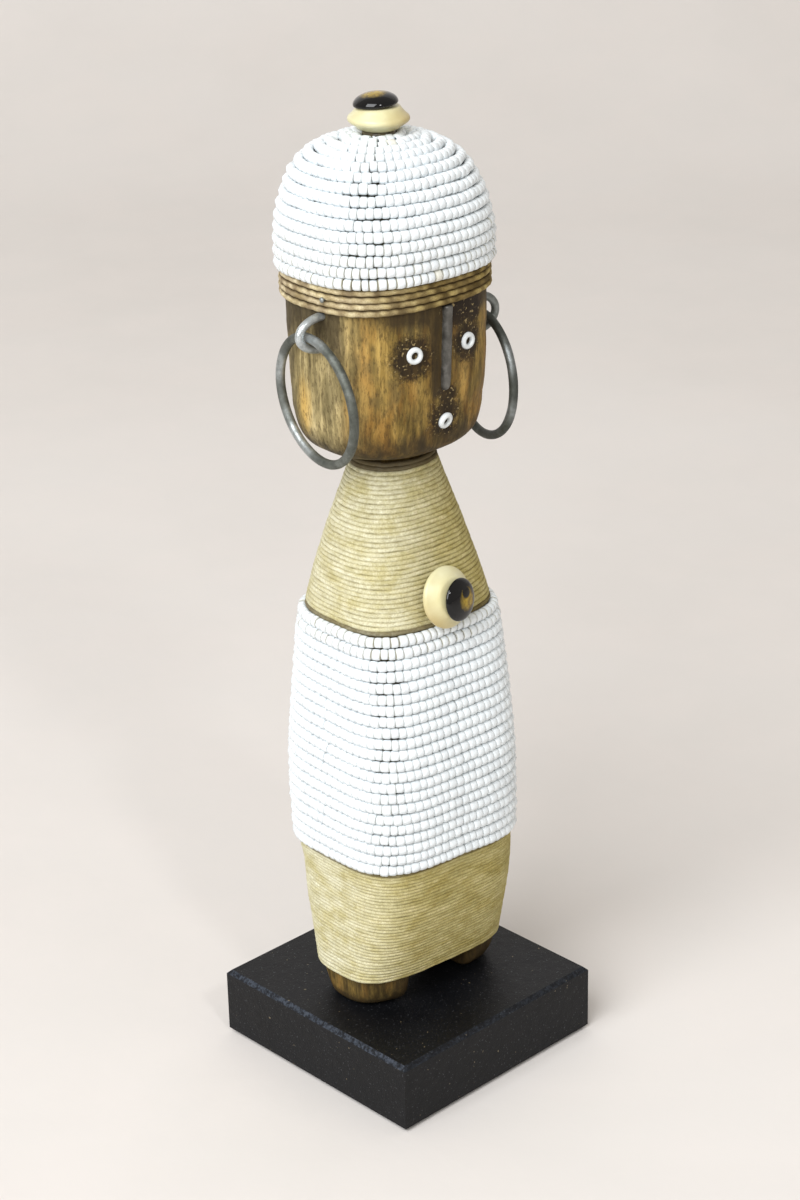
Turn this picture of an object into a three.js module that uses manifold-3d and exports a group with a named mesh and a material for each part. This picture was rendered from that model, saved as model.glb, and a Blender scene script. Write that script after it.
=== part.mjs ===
// Namji doll on a stone block: a carved wooden figure wound with twine, with a bead tunic and a bead cap.
// Millimetres, +Z up, origin under the middle of the block. The doll looks along -Y.
// Left and right are a viewer's, facing the doll: left is -X.
import * as THREE from "three";
import { mergeVertices } from "three/addons/utils/BufferGeometryUtils.js";
import Module from "manifold-3d";

const wasm = await Module();
wasm.setup();

// Stone block
const BLOCK_SIDE = 75;
const BLOCK_HEIGHT = 21;
const BLOCK_CHAMFER = 1.2;

// How the doll stands on its block: a small turn, and a slight lean towards its left front
const TURN = THREE.MathUtils.degToRad(-4);
const LEAN_HEADING = THREE.MathUtils.degToRad(-39.5);
const FOOT_SHIFT = 1.0;
const LEAN_PER_MM = -0.0115;

// Clearance between neighbouring pieces
const GAP = 0.3;

// Heights that divide the doll
const SOLE_Z = BLOCK_HEIGHT + GAP;
const WRAP_BOTTOM_Z = 31;
const TUNIC_BOTTOM_Z = 69.1;
const TUNIC_TOP_Z = 139.2;
const WRAP_TOP_Z = 184.5;
const CHIN_Z = 185.5;
const BAND_BOTTOM_Z = 228.6;
const BAND_TOP_Z = 235.6;
const CAP_BOTTOM_Z = 235.9;
const CAP_TOP_Z = 269.7;

// How low an edge hangs for each millimetre to the right of the middle, and behind a line. The tunic's
// rows take less and less of it over the height of the fade.
const HANG_LINE_Y = -15;
const WRAP_HANG = { right: 0.02, behind: 0.05 };
const TUNIC_HANG = { right: 0.06, behind: 0.045 };
const NO_HANG = { right: 0, behind: 0 };
const TUNIC_HANG_FADE = 24;

// Heights of the rings of the wood, which the inside of the twine and of the cap follow
const CORE_Z = [WRAP_BOTTOM_Z, 50, 93, 118, 139, 160, 181, WRAP_TOP_Z];
const HEAD_Z = [185.8, 187.7, 191, 197, 207, 218, 229, 236];
const DOME_Z = [241, 248, 255, 262, 267.5];

// Twine and beads
const TWINE_THICK = 1.2;
const BAND_TWINE_THICK = 1.1;
const BAND_TURNS = 4;
const BAND_GROOVE = 0.6;
const BEAD_HEIGHT = 2.5;
const BEAD_GROOVE = 0.8;
const TUNIC_ROWS = 22;
const CAP_ROWS = 17;

// Straight-sided facets around every wound or beaded section
const SIDES = 24;

// Direction that turned pieces are drawn along
const UP = new THREE.Vector3(0, 0, 1);

// Outer surface of the twine on the body: height, half width, half depth, squareness of the section,
// and s, a further shift of its middle along the lean
const BODY = [
  { z: 31, x: 27.4, y: 16.8, n: 3.3, s: -0.2 },
  { z: 50, x: 27.2, y: 21.6, n: 3.6, s: 0 },
  { z: 60, x: 27.3, y: 23.0, n: 3.6, s: 0.2 },
  { z: 68.5, x: 27.4, y: 24.1, n: 3.6, s: -0.3 },
  { z: 93, x: 26.9, y: 25.3, n: 3.6, s: -0.4 },
  { z: 118, x: 25.2, y: 23.4, n: 3.6, s: -0.1 },
  { z: 139, x: 23.9, y: 21.3, n: 3.1, s: -0.1 },
  { z: 160, x: 19.4, y: 16.2, n: 2.6, s: -0.3 },
  { z: 181, x: 12.6, y: 10.9, n: 2.1, s: 0 },
  { z: 185, x: 11.7, y: 10.2, n: 2.1, s: 0 },
];

// Wooden head, from under the chin up to the foot of the dome that carries the cap
const HEAD = [
  { z: 185.5, x: 13.7, y: 13.4, n: 2.3, s: 0 },
  { z: 187.7, x: 21.1, y: 17.0, n: 2.4, s: 0 },
  { z: 191, x: 24.4, y: 18.7, n: 2.5, s: -0.4 },
  { z: 198, x: 25.7, y: 19.8, n: 2.6, s: -0.6 },
  { z: 207, x: 26.2, y: 20.8, n: 2.6, s: -0.4 },
  { z: 218, x: 26.2, y: 21.5, n: 2.6, s: -0.3 },
  { z: 229, x: 26.1, y: 22.1, n: 2.6, s: -0.3 },
  { z: 236, x: 25.9, y: 22.4, n: 2.6, s: -0.3 },
];

// Outer surface of the bead cap, whose crown sits a little to the side
const CAP = [
  { z: 235.9, x: 28.7, y: 25.2, n: 2.55, s: -0.2 },
  { z: 247, x: 27.9, y: 25.6, n: 2.55, s: -0.3 },
  { z: 257, x: 25.3, y: 23.2, n: 2.5, s: -0.5 },
  { z: 264, x: 20.7, y: 19.4, n: 2.4, s: -0.8 },
  { z: 267.7, x: 13.2, y: 12.6, n: 2.2, s: -0.9 },
  { z: 269.7, x: 0, y: 0, n: 2, s: -0.9 },
];

// Feet
const SOLE = { x: 24.2, y: 9.6, n: 2.5 };
const NOTCH_LEFT_X = -11.2;
const NOTCH_RIGHT_X = 10.9;
const NOTCH_TOP_Z = 31.6;
const NOTCH_ROUND = 4;
const NOTCH_DEPTH = 60;

// Glued eye buttons: a cream disc under a low black dome
const DISC_SEAT_RADIUS = 5.2;
const DISC_BELOW_RIM = 2.8;
const DISC_ABOVE_RIM = 3.2;
const DOME_RADIUS = 5.9;
const BUTTON_SIDES = 16;

// Each disc's rim and each dome's foot have a middle and a direction of their own, as they were glued askew
const TOP_BUTTON = {
  disc: { middle: [-1.7, 1.8, 273.4], axis: [0.01, 0, 1], radius: 8.1 },
  dome: { middle: [-2.2, 2.2, 276.9], axis: [-0.07, 0.045, 1], height: 3.3 },
};
const CHEST_BUTTON = {
  disc: { middle: [-2.6, -23.2, 147.9], axis: [0.1, -1, 0.24], radius: 8.5 },
  dome: { middle: [-1.1, -26.4, 147.8], axis: [0.21, -1, 0.15], height: 2.3 },
};

// Earrings: a wire ring through a wire staple on each side of the head
const RING_RADIUS = 17.1;
const RING_WIRE = 1.25;
const STAPLE_WIRE = 1.1;
const STAPLE_ROOT = 4;
const WIRE_SIDES = 8;
const RING_STEPS = 26;
const STAPLE_STEPS = 8;
const STAPLES = {
  left: { sign: -1, root: [-27.2, -4.4, 223.2], halfSpan: 4.3, reach: 7.4 },
  right: { sign: 1, root: [25.3, -4.0, 216.5], halfSpan: 5.0, reach: 7.4 },
};
const RINGS = {
  left: { middle: [-30.4, -5.4, 205.5], heading: 84.8, splay: -4 },
  right: { middle: [29.7, -2.0, 198.2], heading: 77.5, splay: 0.6 },
};

// Face
const FACE_BEAD_RADIUS = 2.45;
const FACE_BEAD_HOLE = 1.0;
const FACE_BEAD_HEIGHT = 1.1;
const FACE_BEAD_SINK = 0.4;
const SOCKET_LENGTH = 4;
const EYE_Z = 216.6;
const LEFT_EYE_X = -9.6;
const RIGHT_EYE_X = 8.6;
const MOUTH_X = 1.7;
const MOUTH_Z = 195.9;
const NOSE_X = 0.7;
const NOSE_TOP_Z = 228.2;
const NOSE_TIP_Z = 204.9;
const NOSE_HALF_WIDTH = 1.05;
const NOSE_RISE = 1.6;
const NOSE_EDGE = 0.6;
const NOSE_SEAT = 0.8;
const NOSE_TIP_WIDTH = 0.6;
const NOSE_TIP_RISE = 0.6;

// Small pin through the twine band
const PIN_Y = -6.7;
const PIN_Z = 232.6;
const PIN_RADIUS = 0.7;
const PIN_LENGTH = 0.8;

// Colours
const STONE = new THREE.MeshStandardMaterial({ color: 0x17181b, roughness: 0.35, metalness: 0 });
const WOOD = new THREE.MeshStandardMaterial({ color: 0x8a6436, roughness: 0.55, metalness: 0 });
const TWINE = new THREE.MeshStandardMaterial({ color: 0xb3a576, roughness: 0.9, metalness: 0 });
const BAND_TWINE = new THREE.MeshStandardMaterial({ color: 0x94805a, roughness: 0.9, metalness: 0 });
const BEADS = new THREE.MeshStandardMaterial({ color: 0xeef1f3, roughness: 0.25, metalness: 0 });
const CREAM = new THREE.MeshStandardMaterial({ color: 0xf0e6b4, roughness: 0.3, metalness: 0 });
const BLACK_GLASS = new THREE.MeshStandardMaterial({ color: 0x14120f, roughness: 0.08, metalness: 0 });
const OLD_STEEL = new THREE.MeshStandardMaterial({ color: 0x6b716e, roughness: 0.45, metalness: 0.85 });
const DARK_IRON = new THREE.MeshStandardMaterial({ color: 0x4a4642, roughness: 0.6, metalness: 0.7 });

// Smooth value of one measure of a list of stations at a height
function along(stations, key, z) {
  const last = stations.length - 1;
  const slope = (i) => {
    const low = stations[Math.max(i - 1, 0)];
    const high = stations[Math.min(i + 1, last)];
    return (high[key] - low[key]) / (high.z - low.z);
  };
  if (z <= stations[0].z) return stations[0][key];
  if (z >= stations[last].z) return stations[last][key];
  const i = stations.findIndex((s, k) => k < last && z < stations[k + 1].z);
  const span = stations[i + 1].z - stations[i].z;
  const t = (z - stations[i].z) / span;
  const u = 1 - t;
  return (
    stations[i][key] * (1 + 2 * t) * u * u +
    stations[i + 1][key] * t * t * (3 - 2 * t) +
    slope(i) * span * t * u * u -
    slope(i + 1) * span * t * t * u
  );
}

// Middle of the doll at a height, with its sideways lean and any further shift
function middle(z, further = 0) {
  const shift = FOOT_SHIFT + LEAN_PER_MM * (z - WRAP_BOTTOM_Z) + further;
  return [shift * Math.cos(LEAN_HEADING), shift * Math.sin(LEAN_HEADING)];
}

// One ring of points: a superellipse with the given half width, half depth and squareness
function ring(z, x, y, n, further = 0) {
  const [cx, cy] = middle(z, further);
  const points = [];
  for (let i = 0; i < SIDES; i += 1) {
    const angle = (2 * Math.PI * (i + 0.5)) / SIDES;
    const c = Math.cos(angle);
    const s = Math.sin(angle);
    const px = cx + x * Math.sign(c) * Math.abs(c) ** (2 / n);
    const py = cy + y * Math.sign(s) * Math.abs(s) ** (2 / n);
    points.push(new THREE.Vector3(px, py, z));
  }
  return points;
}

// Ring of a list of stations at a height, moved out by an offset
function ringOf(stations, z, offset) {
  const x = along(stations, "x", z) + offset;
  const y = along(stations, "y", z) + offset;
  return ring(z, x, y, along(stations, "n", z), along(stations, "s", z));
}

// Closed skin over rings that run upwards outside. Ends close on a point, or the last ring joins the first.
function skin(rings, closesOnItself) {
  const count = rings[0].length;
  const positions = [];
  const faces = [];
  rings.flat().forEach((p) => positions.push(p.x, p.y, p.z));
  const strips = closesOnItself ? rings.length : rings.length - 1;
  for (let r = 0; r < strips; r += 1) {
    const a = r * count;
    const b = ((r + 1) % rings.length) * count;
    for (let i = 0; i < count; i += 1) {
      const j = (i + 1) % count;
      faces.push(a + i, a + j, b + j, a + i, b + j, b + i);
    }
  }
  if (!closesOnItself) {
    [rings[0], rings[rings.length - 1]].forEach((end, which) => {
      const centre = end.reduce((sum, p) => sum.add(p), new THREE.Vector3()).divideScalar(count);
      const c = positions.length / 3;
      const base = which === 0 ? 0 : (rings.length - 1) * count;
      positions.push(centre.x, centre.y, centre.z);
      for (let i = 0; i < count; i += 1) {
        const j = (i + 1) % count;
        if (which === 0) faces.push(c, base + j, base + i);
        else faces.push(c, base + i, base + j);
      }
    });
  }
  const geometry = new THREE.BufferGeometry();
  geometry.setAttribute("position", new THREE.Float32BufferAttribute(positions, 3));
  geometry.setIndex(faces);
  return geometry;
}

// Evenly spaced heights from low to high
function heights(low, high, steps) {
  return Array.from({ length: steps + 1 }, (_, i) => low + ((high - low) * i) / steps);
}

// Position-only, welded copy of a geometry
function welded(geometry) {
  const copy = geometry.clone();
  copy.deleteAttribute("normal");
  copy.deleteAttribute("uv");
  return mergeVertices(copy, 1e-4);
}

// Geometry to a solid for joining and cutting
function toSolid(geometry) {
  const mesh = welded(geometry);
  return new wasm.Manifold(
    new wasm.Mesh({
      numProp: 3,
      vertProperties: new Float32Array(mesh.attributes.position.array),
      triVerts: new Uint32Array(mesh.index.array),
    }),
  );
}

// Solid back to geometry
function fromSolid(solid) {
  const mesh = solid.getMesh();
  const geometry = new THREE.BufferGeometry();
  geometry.setAttribute("position", new THREE.BufferAttribute(mesh.vertProperties, 3));
  geometry.setIndex(new THREE.BufferAttribute(mesh.triVerts, 1));
  return geometry;
}

// Round wire ring that stands upright, facing along Y
function earring() {
  const rings = [];
  for (let i = 0; i < RING_STEPS; i += 1) {
    const turn = (2 * Math.PI * i) / RING_STEPS;
    const loop = [];
    for (let k = 0; k < WIRE_SIDES; k += 1) {
      const around = (2 * Math.PI * k) / WIRE_SIDES;
      const reach = RING_RADIUS + RING_WIRE * Math.cos(around);
      const out = RING_WIRE * Math.sin(around);
      loop.push(new THREE.Vector3(reach * Math.cos(turn), out, reach * Math.sin(turn)));
    }
    rings.push(loop);
  }
  return skin(rings, true);
}

// Stone block with chamfered edges
function block() {
  const h = BLOCK_SIDE / 2 - BLOCK_CHAMFER;
  const square = new THREE.Shape([
    new THREE.Vector2(-h, -h),
    new THREE.Vector2(h, -h),
    new THREE.Vector2(h, h),
    new THREE.Vector2(-h, h),
  ]);
  const geometry = new THREE.ExtrudeGeometry(square, {
    depth: BLOCK_HEIGHT - 2 * BLOCK_CHAMFER,
    bevelEnabled: true,
    bevelSize: BLOCK_CHAMFER,
    bevelThickness: BLOCK_CHAMFER,
    bevelSegments: 1,
  });
  geometry.translate(0, 0, BLOCK_CHAMFER);
  return geometry;
}

// Arch between the feet, cut from front to back
function footNotch() {
  const arch = new THREE.Shape();
  arch.moveTo(NOTCH_LEFT_X, 0);
  arch.lineTo(NOTCH_RIGHT_X, 0);
  arch.lineTo(NOTCH_RIGHT_X, NOTCH_TOP_Z - NOTCH_ROUND);
  arch.quadraticCurveTo(NOTCH_RIGHT_X, NOTCH_TOP_Z, NOTCH_RIGHT_X - NOTCH_ROUND, NOTCH_TOP_Z);
  arch.lineTo(NOTCH_LEFT_X + NOTCH_ROUND, NOTCH_TOP_Z);
  arch.quadraticCurveTo(NOTCH_LEFT_X, NOTCH_TOP_Z, NOTCH_LEFT_X, NOTCH_TOP_Z - NOTCH_ROUND);
  const options = { depth: NOTCH_DEPTH, bevelEnabled: false, curveSegments: 4 };
  const geometry = new THREE.ExtrudeGeometry(arch, options);
  geometry.rotateX(Math.PI / 2);
  geometry.translate(0, NOTCH_DEPTH / 2, 0);
  return geometry;
}

// Front face of the head at a height and sideways place
function faceY(x, z) {
  const [cx, cy] = middle(z, along(HEAD, "s", z));
  const n = along(HEAD, "n", z);
  const across = Math.abs(x - cx) / along(HEAD, "x", z);
  return cy - along(HEAD, "y", z) * (1 - across ** n) ** (1 / n);
}

// Round cutter that sinks a face bead or a wire into the wood
function drill(radius, length, place, direction) {
  const geometry = new THREE.CylinderGeometry(radius, radius, length, 12);
  geometry.applyQuaternion(new THREE.Quaternion().setFromUnitVectors(new THREE.Vector3(0, 1, 0), direction));
  geometry.translate(...place);
  return geometry;
}

// Ring of the dome under the cap: the cap's own ring at that height, drawn in and down by a depth
function domeRing(z, depth) {
  const inward = 1 - depth / CAP[0].x;
  const squash = 1 - depth / (CAP_TOP_Z - CAP_BOTTOM_Z);
  const x = along(CAP, "x", z) * inward;
  const y = along(CAP, "y", z) * inward;
  return ring(CAP_BOTTOM_Z + (z - CAP_BOTTOM_Z) * squash, x, y, along(CAP, "n", z), along(CAP, "s", z));
}

// Wooden figure in one piece: feet, body under the twine and beads, neck, head, and dome under the cap
function figure() {
  const wood = -(TWINE_THICK + GAP);
  const core = ringOf(BODY, WRAP_BOTTOM_Z, wood);
  const blend = (t) => {
    const mix = (key, top) => SOLE[key] + (top - SOLE[key]) * t;
    return [mix("x", BODY[0].x + wood), mix("y", BODY[0].y + wood), mix("n", BODY[0].n)];
  };
  const legs = [0, 0.3, 0.65].map((f) => {
    const round = Math.sqrt(1 - (1 - f) ** 2);
    return ring(SOLE_Z + (WRAP_BOTTOM_Z - SOLE_Z) * f, ...blend(round));
  });
  const neck = ringOf(BODY, CHIN_Z, wood);
  const rings = [
    ...legs,
    core,
    ...CORE_Z.slice(1).map((z) => ringOf(BODY, z, wood)),
    neck,
    ...HEAD_Z.map((z) => ringOf(HEAD, z, 0)),
    ...DOME_Z.map((z) => domeRing(z, BEAD_HEIGHT + GAP)),
  ];
  let solid = toSolid(skin(rings, false)).subtract(toSolid(footNotch()));
  cutters().forEach((cutter) => {
    solid = solid.subtract(toSolid(cutter));
  });
  return fromSolid(solid);
}

// How far an edge hangs down at a point
function hang(p, { right, behind }) {
  return right * Math.max(0, p.x) + behind * Math.max(0, p.y - HANG_LINE_Y);
}

// Twine wound tightly round the body between two heights, each end hanging lower by its own amount
function twineSleeve(low, high, lowHang, highHang) {
  const inner = [low, ...CORE_Z.filter((z) => z > low && z < high), high];
  const outer = inner.flatMap((z, i) => (i === 0 ? [z] : [(z + inner[i - 1]) / 2, z]));
  const rings = [
    ...outer.map((z) => ringOf(BODY, z, 0)),
    ...[...inner].reverse().map((z) => ringOf(BODY, z, -TWINE_THICK)),
  ];
  rings.flat().forEach((p) => {
    if (p.z === low) p.z -= hang(p, lowHang);
    else if (p.z === high) p.z -= hang(p, highHang);
  });
  return skin(rings, true);
}

// Rings of a ridged sleeve: a groove ring, then a crest ring, and so on, ending in a groove
function ridged(low, high, rows, place) {
  return heights(low, high, 2 * rows).map((v, i) => place(v, i % 2 === 0));
}

// Beaded tunic, one ridge for each row. Its lower rows hang down a little behind and on the right.
function tunic() {
  const proud = BEAD_HEIGHT + GAP - TWINE_THICK;
  const outside = ridged(TUNIC_BOTTOM_Z, TUNIC_TOP_Z, TUNIC_ROWS, (z, groove) =>
    ringOf(BODY, z, proud - (groove ? BEAD_GROOVE : 0)),
  );
  const inside = [TUNIC_TOP_Z, 118, 93, TUNIC_BOTTOM_Z].map((z) => ringOf(BODY, z, -TWINE_THICK));
  const rings = [...outside, ...inside];
  rings.flat().forEach((p) => {
    const share = Math.max(0, 1 - (p.z - TUNIC_BOTTOM_Z) / TUNIC_HANG_FADE);
    p.z -= hang(p, TUNIC_HANG) * share;
  });
  return skin(rings, true);
}

// Band of twine round the head, one ridge for each strand
function headBand() {
  const outside = ridged(BAND_BOTTOM_Z, BAND_TOP_Z, BAND_TURNS, (z, groove) =>
    ringOf(HEAD, z, BAND_TWINE_THICK + GAP - (groove ? BAND_GROOVE : 0)),
  );
  const inside = [BAND_TOP_Z, BAND_BOTTOM_Z].map((z) => ringOf(HEAD, z, GAP));
  return skin([...outside, ...inside], true);
}

// Beaded cap: rows spaced evenly along the slope of its surface
function cap() {
  const slope = heights(CAP_BOTTOM_Z, CAP_TOP_Z, 200).map((z) => ({ z, r: along(CAP, "x", z) }));
  const run = [0];
  slope.slice(1).forEach((p, i) => {
    run.push(run[i] + Math.hypot(p.z - slope[i].z, p.r - slope[i].r));
  });
  const heightAt = (distance) => {
    const i = Math.max(1, run.findIndex((d) => d >= distance - 1e-9));
    const t = (distance - run[i - 1]) / (run[i] - run[i - 1]);
    return slope[i - 1].z + t * (slope[i].z - slope[i - 1].z);
  };
  const total = run[run.length - 1];
  const outside = [];
  for (let i = 0; i < 2 * CAP_ROWS - 1; i += 1) {
    const z = heightAt((total * i) / (2 * CAP_ROWS));
    outside.push(ringOf(CAP, z, i % 2 === 0 ? -BEAD_GROOVE : 0));
  }
  const inside = [...DOME_Z].reverse().map((z) => domeRing(z, BEAD_HEIGHT));
  inside.push(domeRing(CAP_BOTTOM_Z, BEAD_HEIGHT));
  return skin([...inside, ...outside], false);
}

// Solid revolved from an outline of radii and heights
function turned(outline, sides) {
  const points = outline.map(([r, z]) => new THREE.Vector2(r, z));
  const geometry = new THREE.LatheGeometry(points, sides);
  geometry.rotateX(Math.PI / 2);
  return geometry;
}

// Turn that brings the upward direction onto another one
function turnTo(direction) {
  return new THREE.Quaternion().setFromUnitVectors(UP, new THREE.Vector3(...direction).normalize());
}

// Cream disc of an eye button: two cones that meet at a thin rim, which is at height 0
function buttonDisc(radius) {
  const outline = [
    [0, -DISC_BELOW_RIM],
    [DISC_SEAT_RADIUS, -DISC_BELOW_RIM],
    [radius - 0.5, -0.6],
    [radius, 0],
    [radius - 0.4, 0.7],
    [DOME_RADIUS, DISC_ABOVE_RIM - 0.7],
    [DOME_RADIUS - 0.8, DISC_ABOVE_RIM],
    [0, DISC_ABOVE_RIM],
  ];
  return turned(outline, BUTTON_SIDES);
}

// Disc with its front cut flat just under its dome, in the disc's own frame
function seatedDisc({ disc, dome }) {
  const back = turnTo(disc.axis).invert();
  const foot = new THREE.Vector3(...dome.middle).sub(new THREE.Vector3(...disc.middle)).applyQuaternion(back);
  const across = new THREE.Vector3(...dome.axis).applyQuaternion(back);
  const cutter = new THREE.CylinderGeometry(2 * disc.radius, 2 * disc.radius, DISC_ABOVE_RIM, 8);
  cutter.rotateX(Math.PI / 2);
  cutter.translate(0, 0, DISC_ABOVE_RIM / 2 - GAP);
  cutter.applyQuaternion(turnTo(across.toArray()));
  cutter.translate(...foot.toArray());
  return fromSolid(toSolid(buttonDisc(disc.radius)).subtract(toSolid(cutter)));
}

// Low dome, standing on height 0
function buttonDome(height) {
  const outline = [
    [0, 0],
    [DOME_RADIUS - 0.9, 0],
  ];
  for (let i = 0; i <= 4; i += 1) {
    const angle = (Math.PI / 2) * (i / 4);
    outline.push([DOME_RADIUS * Math.cos(angle), 0.5 + (height - 0.5) * Math.sin(angle)]);
  }
  outline[outline.length - 1][0] = 0;
  return turned(outline, BUTTON_SIDES);
}

// Ring-shaped face bead standing on its own hole
function faceBead() {
  const low = -FACE_BEAD_SINK;
  const outline = [
    [FACE_BEAD_HOLE, low],
    [FACE_BEAD_RADIUS, low],
    [FACE_BEAD_RADIUS, FACE_BEAD_HEIGHT * 0.55],
    [FACE_BEAD_RADIUS * 0.72, FACE_BEAD_HEIGHT],
    [FACE_BEAD_HOLE, FACE_BEAD_HEIGHT * 0.8],
    [FACE_BEAD_HOLE, low],
  ];
  return turned(outline, 12);
}

// Wire staple: a half loop that stands out from the head, with both roots in the wood
function staple(sign, halfSpan, reach) {
  const points = [];
  for (let i = 0; i <= STAPLE_STEPS; i += 1) {
    const angle = Math.PI * (i / STAPLE_STEPS - 0.5);
    points.push([reach * Math.cos(angle), halfSpan * Math.sin(angle)]);
  }
  points.unshift([-STAPLE_ROOT, -halfSpan]);
  points.push([-STAPLE_ROOT, halfSpan]);
  const rings = points.map(([out, up], i) => {
    const [ax, az] = points[Math.max(i - 1, 0)];
    const [bx, bz] = points[Math.min(i + 1, points.length - 1)];
    const forward = new THREE.Vector3(bx - ax, 0, bz - az).normalize();
    const outward = new THREE.Vector3(forward.z, 0, -forward.x);
    const loop = [];
    for (let k = 0; k < WIRE_SIDES; k += 1) {
      const around = (2 * Math.PI * k) / WIRE_SIDES;
      const p = new THREE.Vector3(out, 0, up).addScaledVector(outward, STAPLE_WIRE * Math.cos(around));
      p.y += STAPLE_WIRE * Math.sin(around);
      loop.push(p);
    }
    return loop;
  });
  if (sign < 0) {
    rings.forEach((loop) => {
      loop.forEach((p) => p.set(-p.x, p.y, p.z));
      loop.reverse();
    });
  }
  return skin(rings, false);
}

// Iron strip that stands for the nose, half round in section and drawn in at its tip
function nose(grow) {
  const rings = heights(NOSE_TIP_Z, NOSE_TOP_Z, 5).map((z, i) => {
    const half = NOSE_HALF_WIDTH * (i === 0 ? NOSE_TIP_WIDTH : 1) + grow;
    const rise = NOSE_RISE * (i === 0 ? NOSE_TIP_RISE : 1) + grow;
    const wood = faceY(NOSE_X, z);
    const loop = [];
    for (let k = 0; k <= 6; k += 1) {
      const around = Math.PI * (k / 6);
      const x = NOSE_X - half * Math.cos(around);
      loop.push(new THREE.Vector3(x, wood - (rise - NOSE_EDGE) * Math.sin(around) - NOSE_EDGE, z));
    }
    loop.push(new THREE.Vector3(NOSE_X + half, wood + NOSE_SEAT + grow, z));
    loop.push(new THREE.Vector3(NOSE_X - half, wood + NOSE_SEAT + grow, z));
    return loop;
  });
  if (grow > 0) {
    rings[0].forEach((p) => {
      p.z -= grow;
    });
    rings[rings.length - 1].forEach((p) => {
      p.z += grow;
    });
  }
  return skin(rings, false);
}

// Head of the pin, standing just off the twine band
function pin() {
  return turned([[0, 0], [PIN_RADIUS, 0], [PIN_RADIUS * 0.8, PIN_LENGTH * 0.7], [0, PIN_LENGTH]], 8);
}

// Place of the pin just outside the left side of the band
function pinPlace() {
  const [cx, cy] = middle(PIN_Z, along(HEAD, "s", PIN_Z));
  const offset = BAND_TWINE_THICK + GAP;
  const n = along(HEAD, "n", PIN_Z);
  const across = Math.abs(PIN_Y - cy) / (along(HEAD, "y", PIN_Z) + offset);
  const x = cx - (along(HEAD, "x", PIN_Z) + offset) * (1 - across ** n) ** (1 / n);
  return [x - GAP, PIN_Y, PIN_Z];
}

const FACE_BEADS = [
  { name: "left_eye_bead", x: LEFT_EYE_X, z: EYE_Z },
  { name: "right_eye_bead", x: RIGHT_EYE_X, z: EYE_Z },
  { name: "mouth_bead", x: MOUTH_X, z: MOUTH_Z },
];

// Outward direction of the face at a bead
function faceNormal(x, z) {
  const step = 0.5;
  const dx = (faceY(x + step, z) - faceY(x - step, z)) / (2 * step);
  const dz = (faceY(x, z + step) - faceY(x, z - step)) / (2 * step);
  return new THREE.Vector3(dx, -1, dz).normalize();
}

// Everything sunk into the wooden figure
function cutters() {
  const list = [nose(GAP)];
  FACE_BEADS.forEach(({ x, z }) => {
    const out = faceNormal(x, z);
    const place = new THREE.Vector3(x, faceY(x, z), z);
    place.addScaledVector(out, SOCKET_LENGTH / 2 - FACE_BEAD_SINK - GAP);
    list.push(drill(FACE_BEAD_RADIUS + GAP, SOCKET_LENGTH, place.toArray(), out));
  });
  Object.values(STAPLES).forEach(({ sign, root, halfSpan }) => {
    [-1, 1].forEach((end) => {
      const place = [root[0] - sign * GAP, root[1], root[2] + end * halfSpan];
      list.push(drill(STAPLE_WIRE + GAP, 2 * STAPLE_ROOT, place, new THREE.Vector3(1, 0, 0)));
    });
  });
  return list;
}

const doll = new THREE.Group();
const scene = new THREE.Group();

// Adds a named piece with a material of its own
function piece(name, geometry, material, parent = doll) {
  const mesh = new THREE.Mesh(geometry, material.clone());
  mesh.name = name;
  parent.add(mesh);
  return mesh;
}

// Puts a piece at a place with its own Z axis along a direction
function aim(mesh, place, direction) {
  mesh.position.set(...place);
  mesh.quaternion.copy(turnTo(direction));
}

piece("stone_block", block(), STONE, scene);
piece("carved_figure", figure(), WOOD);
piece("lower_twine_wrap", twineSleeve(WRAP_BOTTOM_Z, TUNIC_BOTTOM_Z - GAP, WRAP_HANG, TUNIC_HANG), TWINE);
piece("upper_twine_wrap", twineSleeve(TUNIC_TOP_Z + GAP, WRAP_TOP_Z, NO_HANG, NO_HANG), TWINE);
piece("bead_tunic", tunic(), BEADS);
piece("head_twine_band", headBand(), BAND_TWINE);
piece("bead_cap", cap(), BEADS);

[["top", TOP_BUTTON], ["chest", CHEST_BUTTON]].forEach(([where, button]) => {
  const { disc, dome } = button;
  aim(piece(`${where}_button_disc`, seatedDisc(button), CREAM), disc.middle, disc.axis);
  aim(piece(`${where}_button_dome`, buttonDome(dome.height), BLACK_GLASS), dome.middle, dome.axis);
});

FACE_BEADS.forEach(({ name, x, z }) => {
  aim(piece(name, faceBead(), BEADS), [x, faceY(x, z), z], faceNormal(x, z).toArray());
});
piece("iron_nose", nose(0), DARK_IRON);
aim(piece("band_pin", pin(), OLD_STEEL), pinPlace(), [-1, 0, 0]);

Object.entries(STAPLES).forEach(([side, { sign, root, halfSpan, reach }]) => {
  piece(`${side}_earring_staple`, staple(sign, halfSpan, reach), OLD_STEEL).position.set(...root);
});
Object.entries(RINGS).forEach(([side, { middle: centre, heading, splay }]) => {
  const hoop = piece(`${side}_earring_ring`, earring(), OLD_STEEL);
  hoop.position.set(...centre);
  hoop.rotation.z = THREE.MathUtils.degToRad(heading);
  hoop.rotateX(THREE.MathUtils.degToRad(splay));
});

doll.rotation.z = TURN;
scene.add(doll);

export default scene;
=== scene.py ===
"""Looks of a namji doll on a stone block: bead, twine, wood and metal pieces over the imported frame.

Shapes are worked out in millimetres in the doll's own frame, which is turned a little on its block, and
turned and scaled to metres when a mesh is made. The doll looks along -Y. Left and right are a viewer's.
"""
import math
import random

import bpy
import numpy as np
from mathutils import Matrix, Vector, noise


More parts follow.
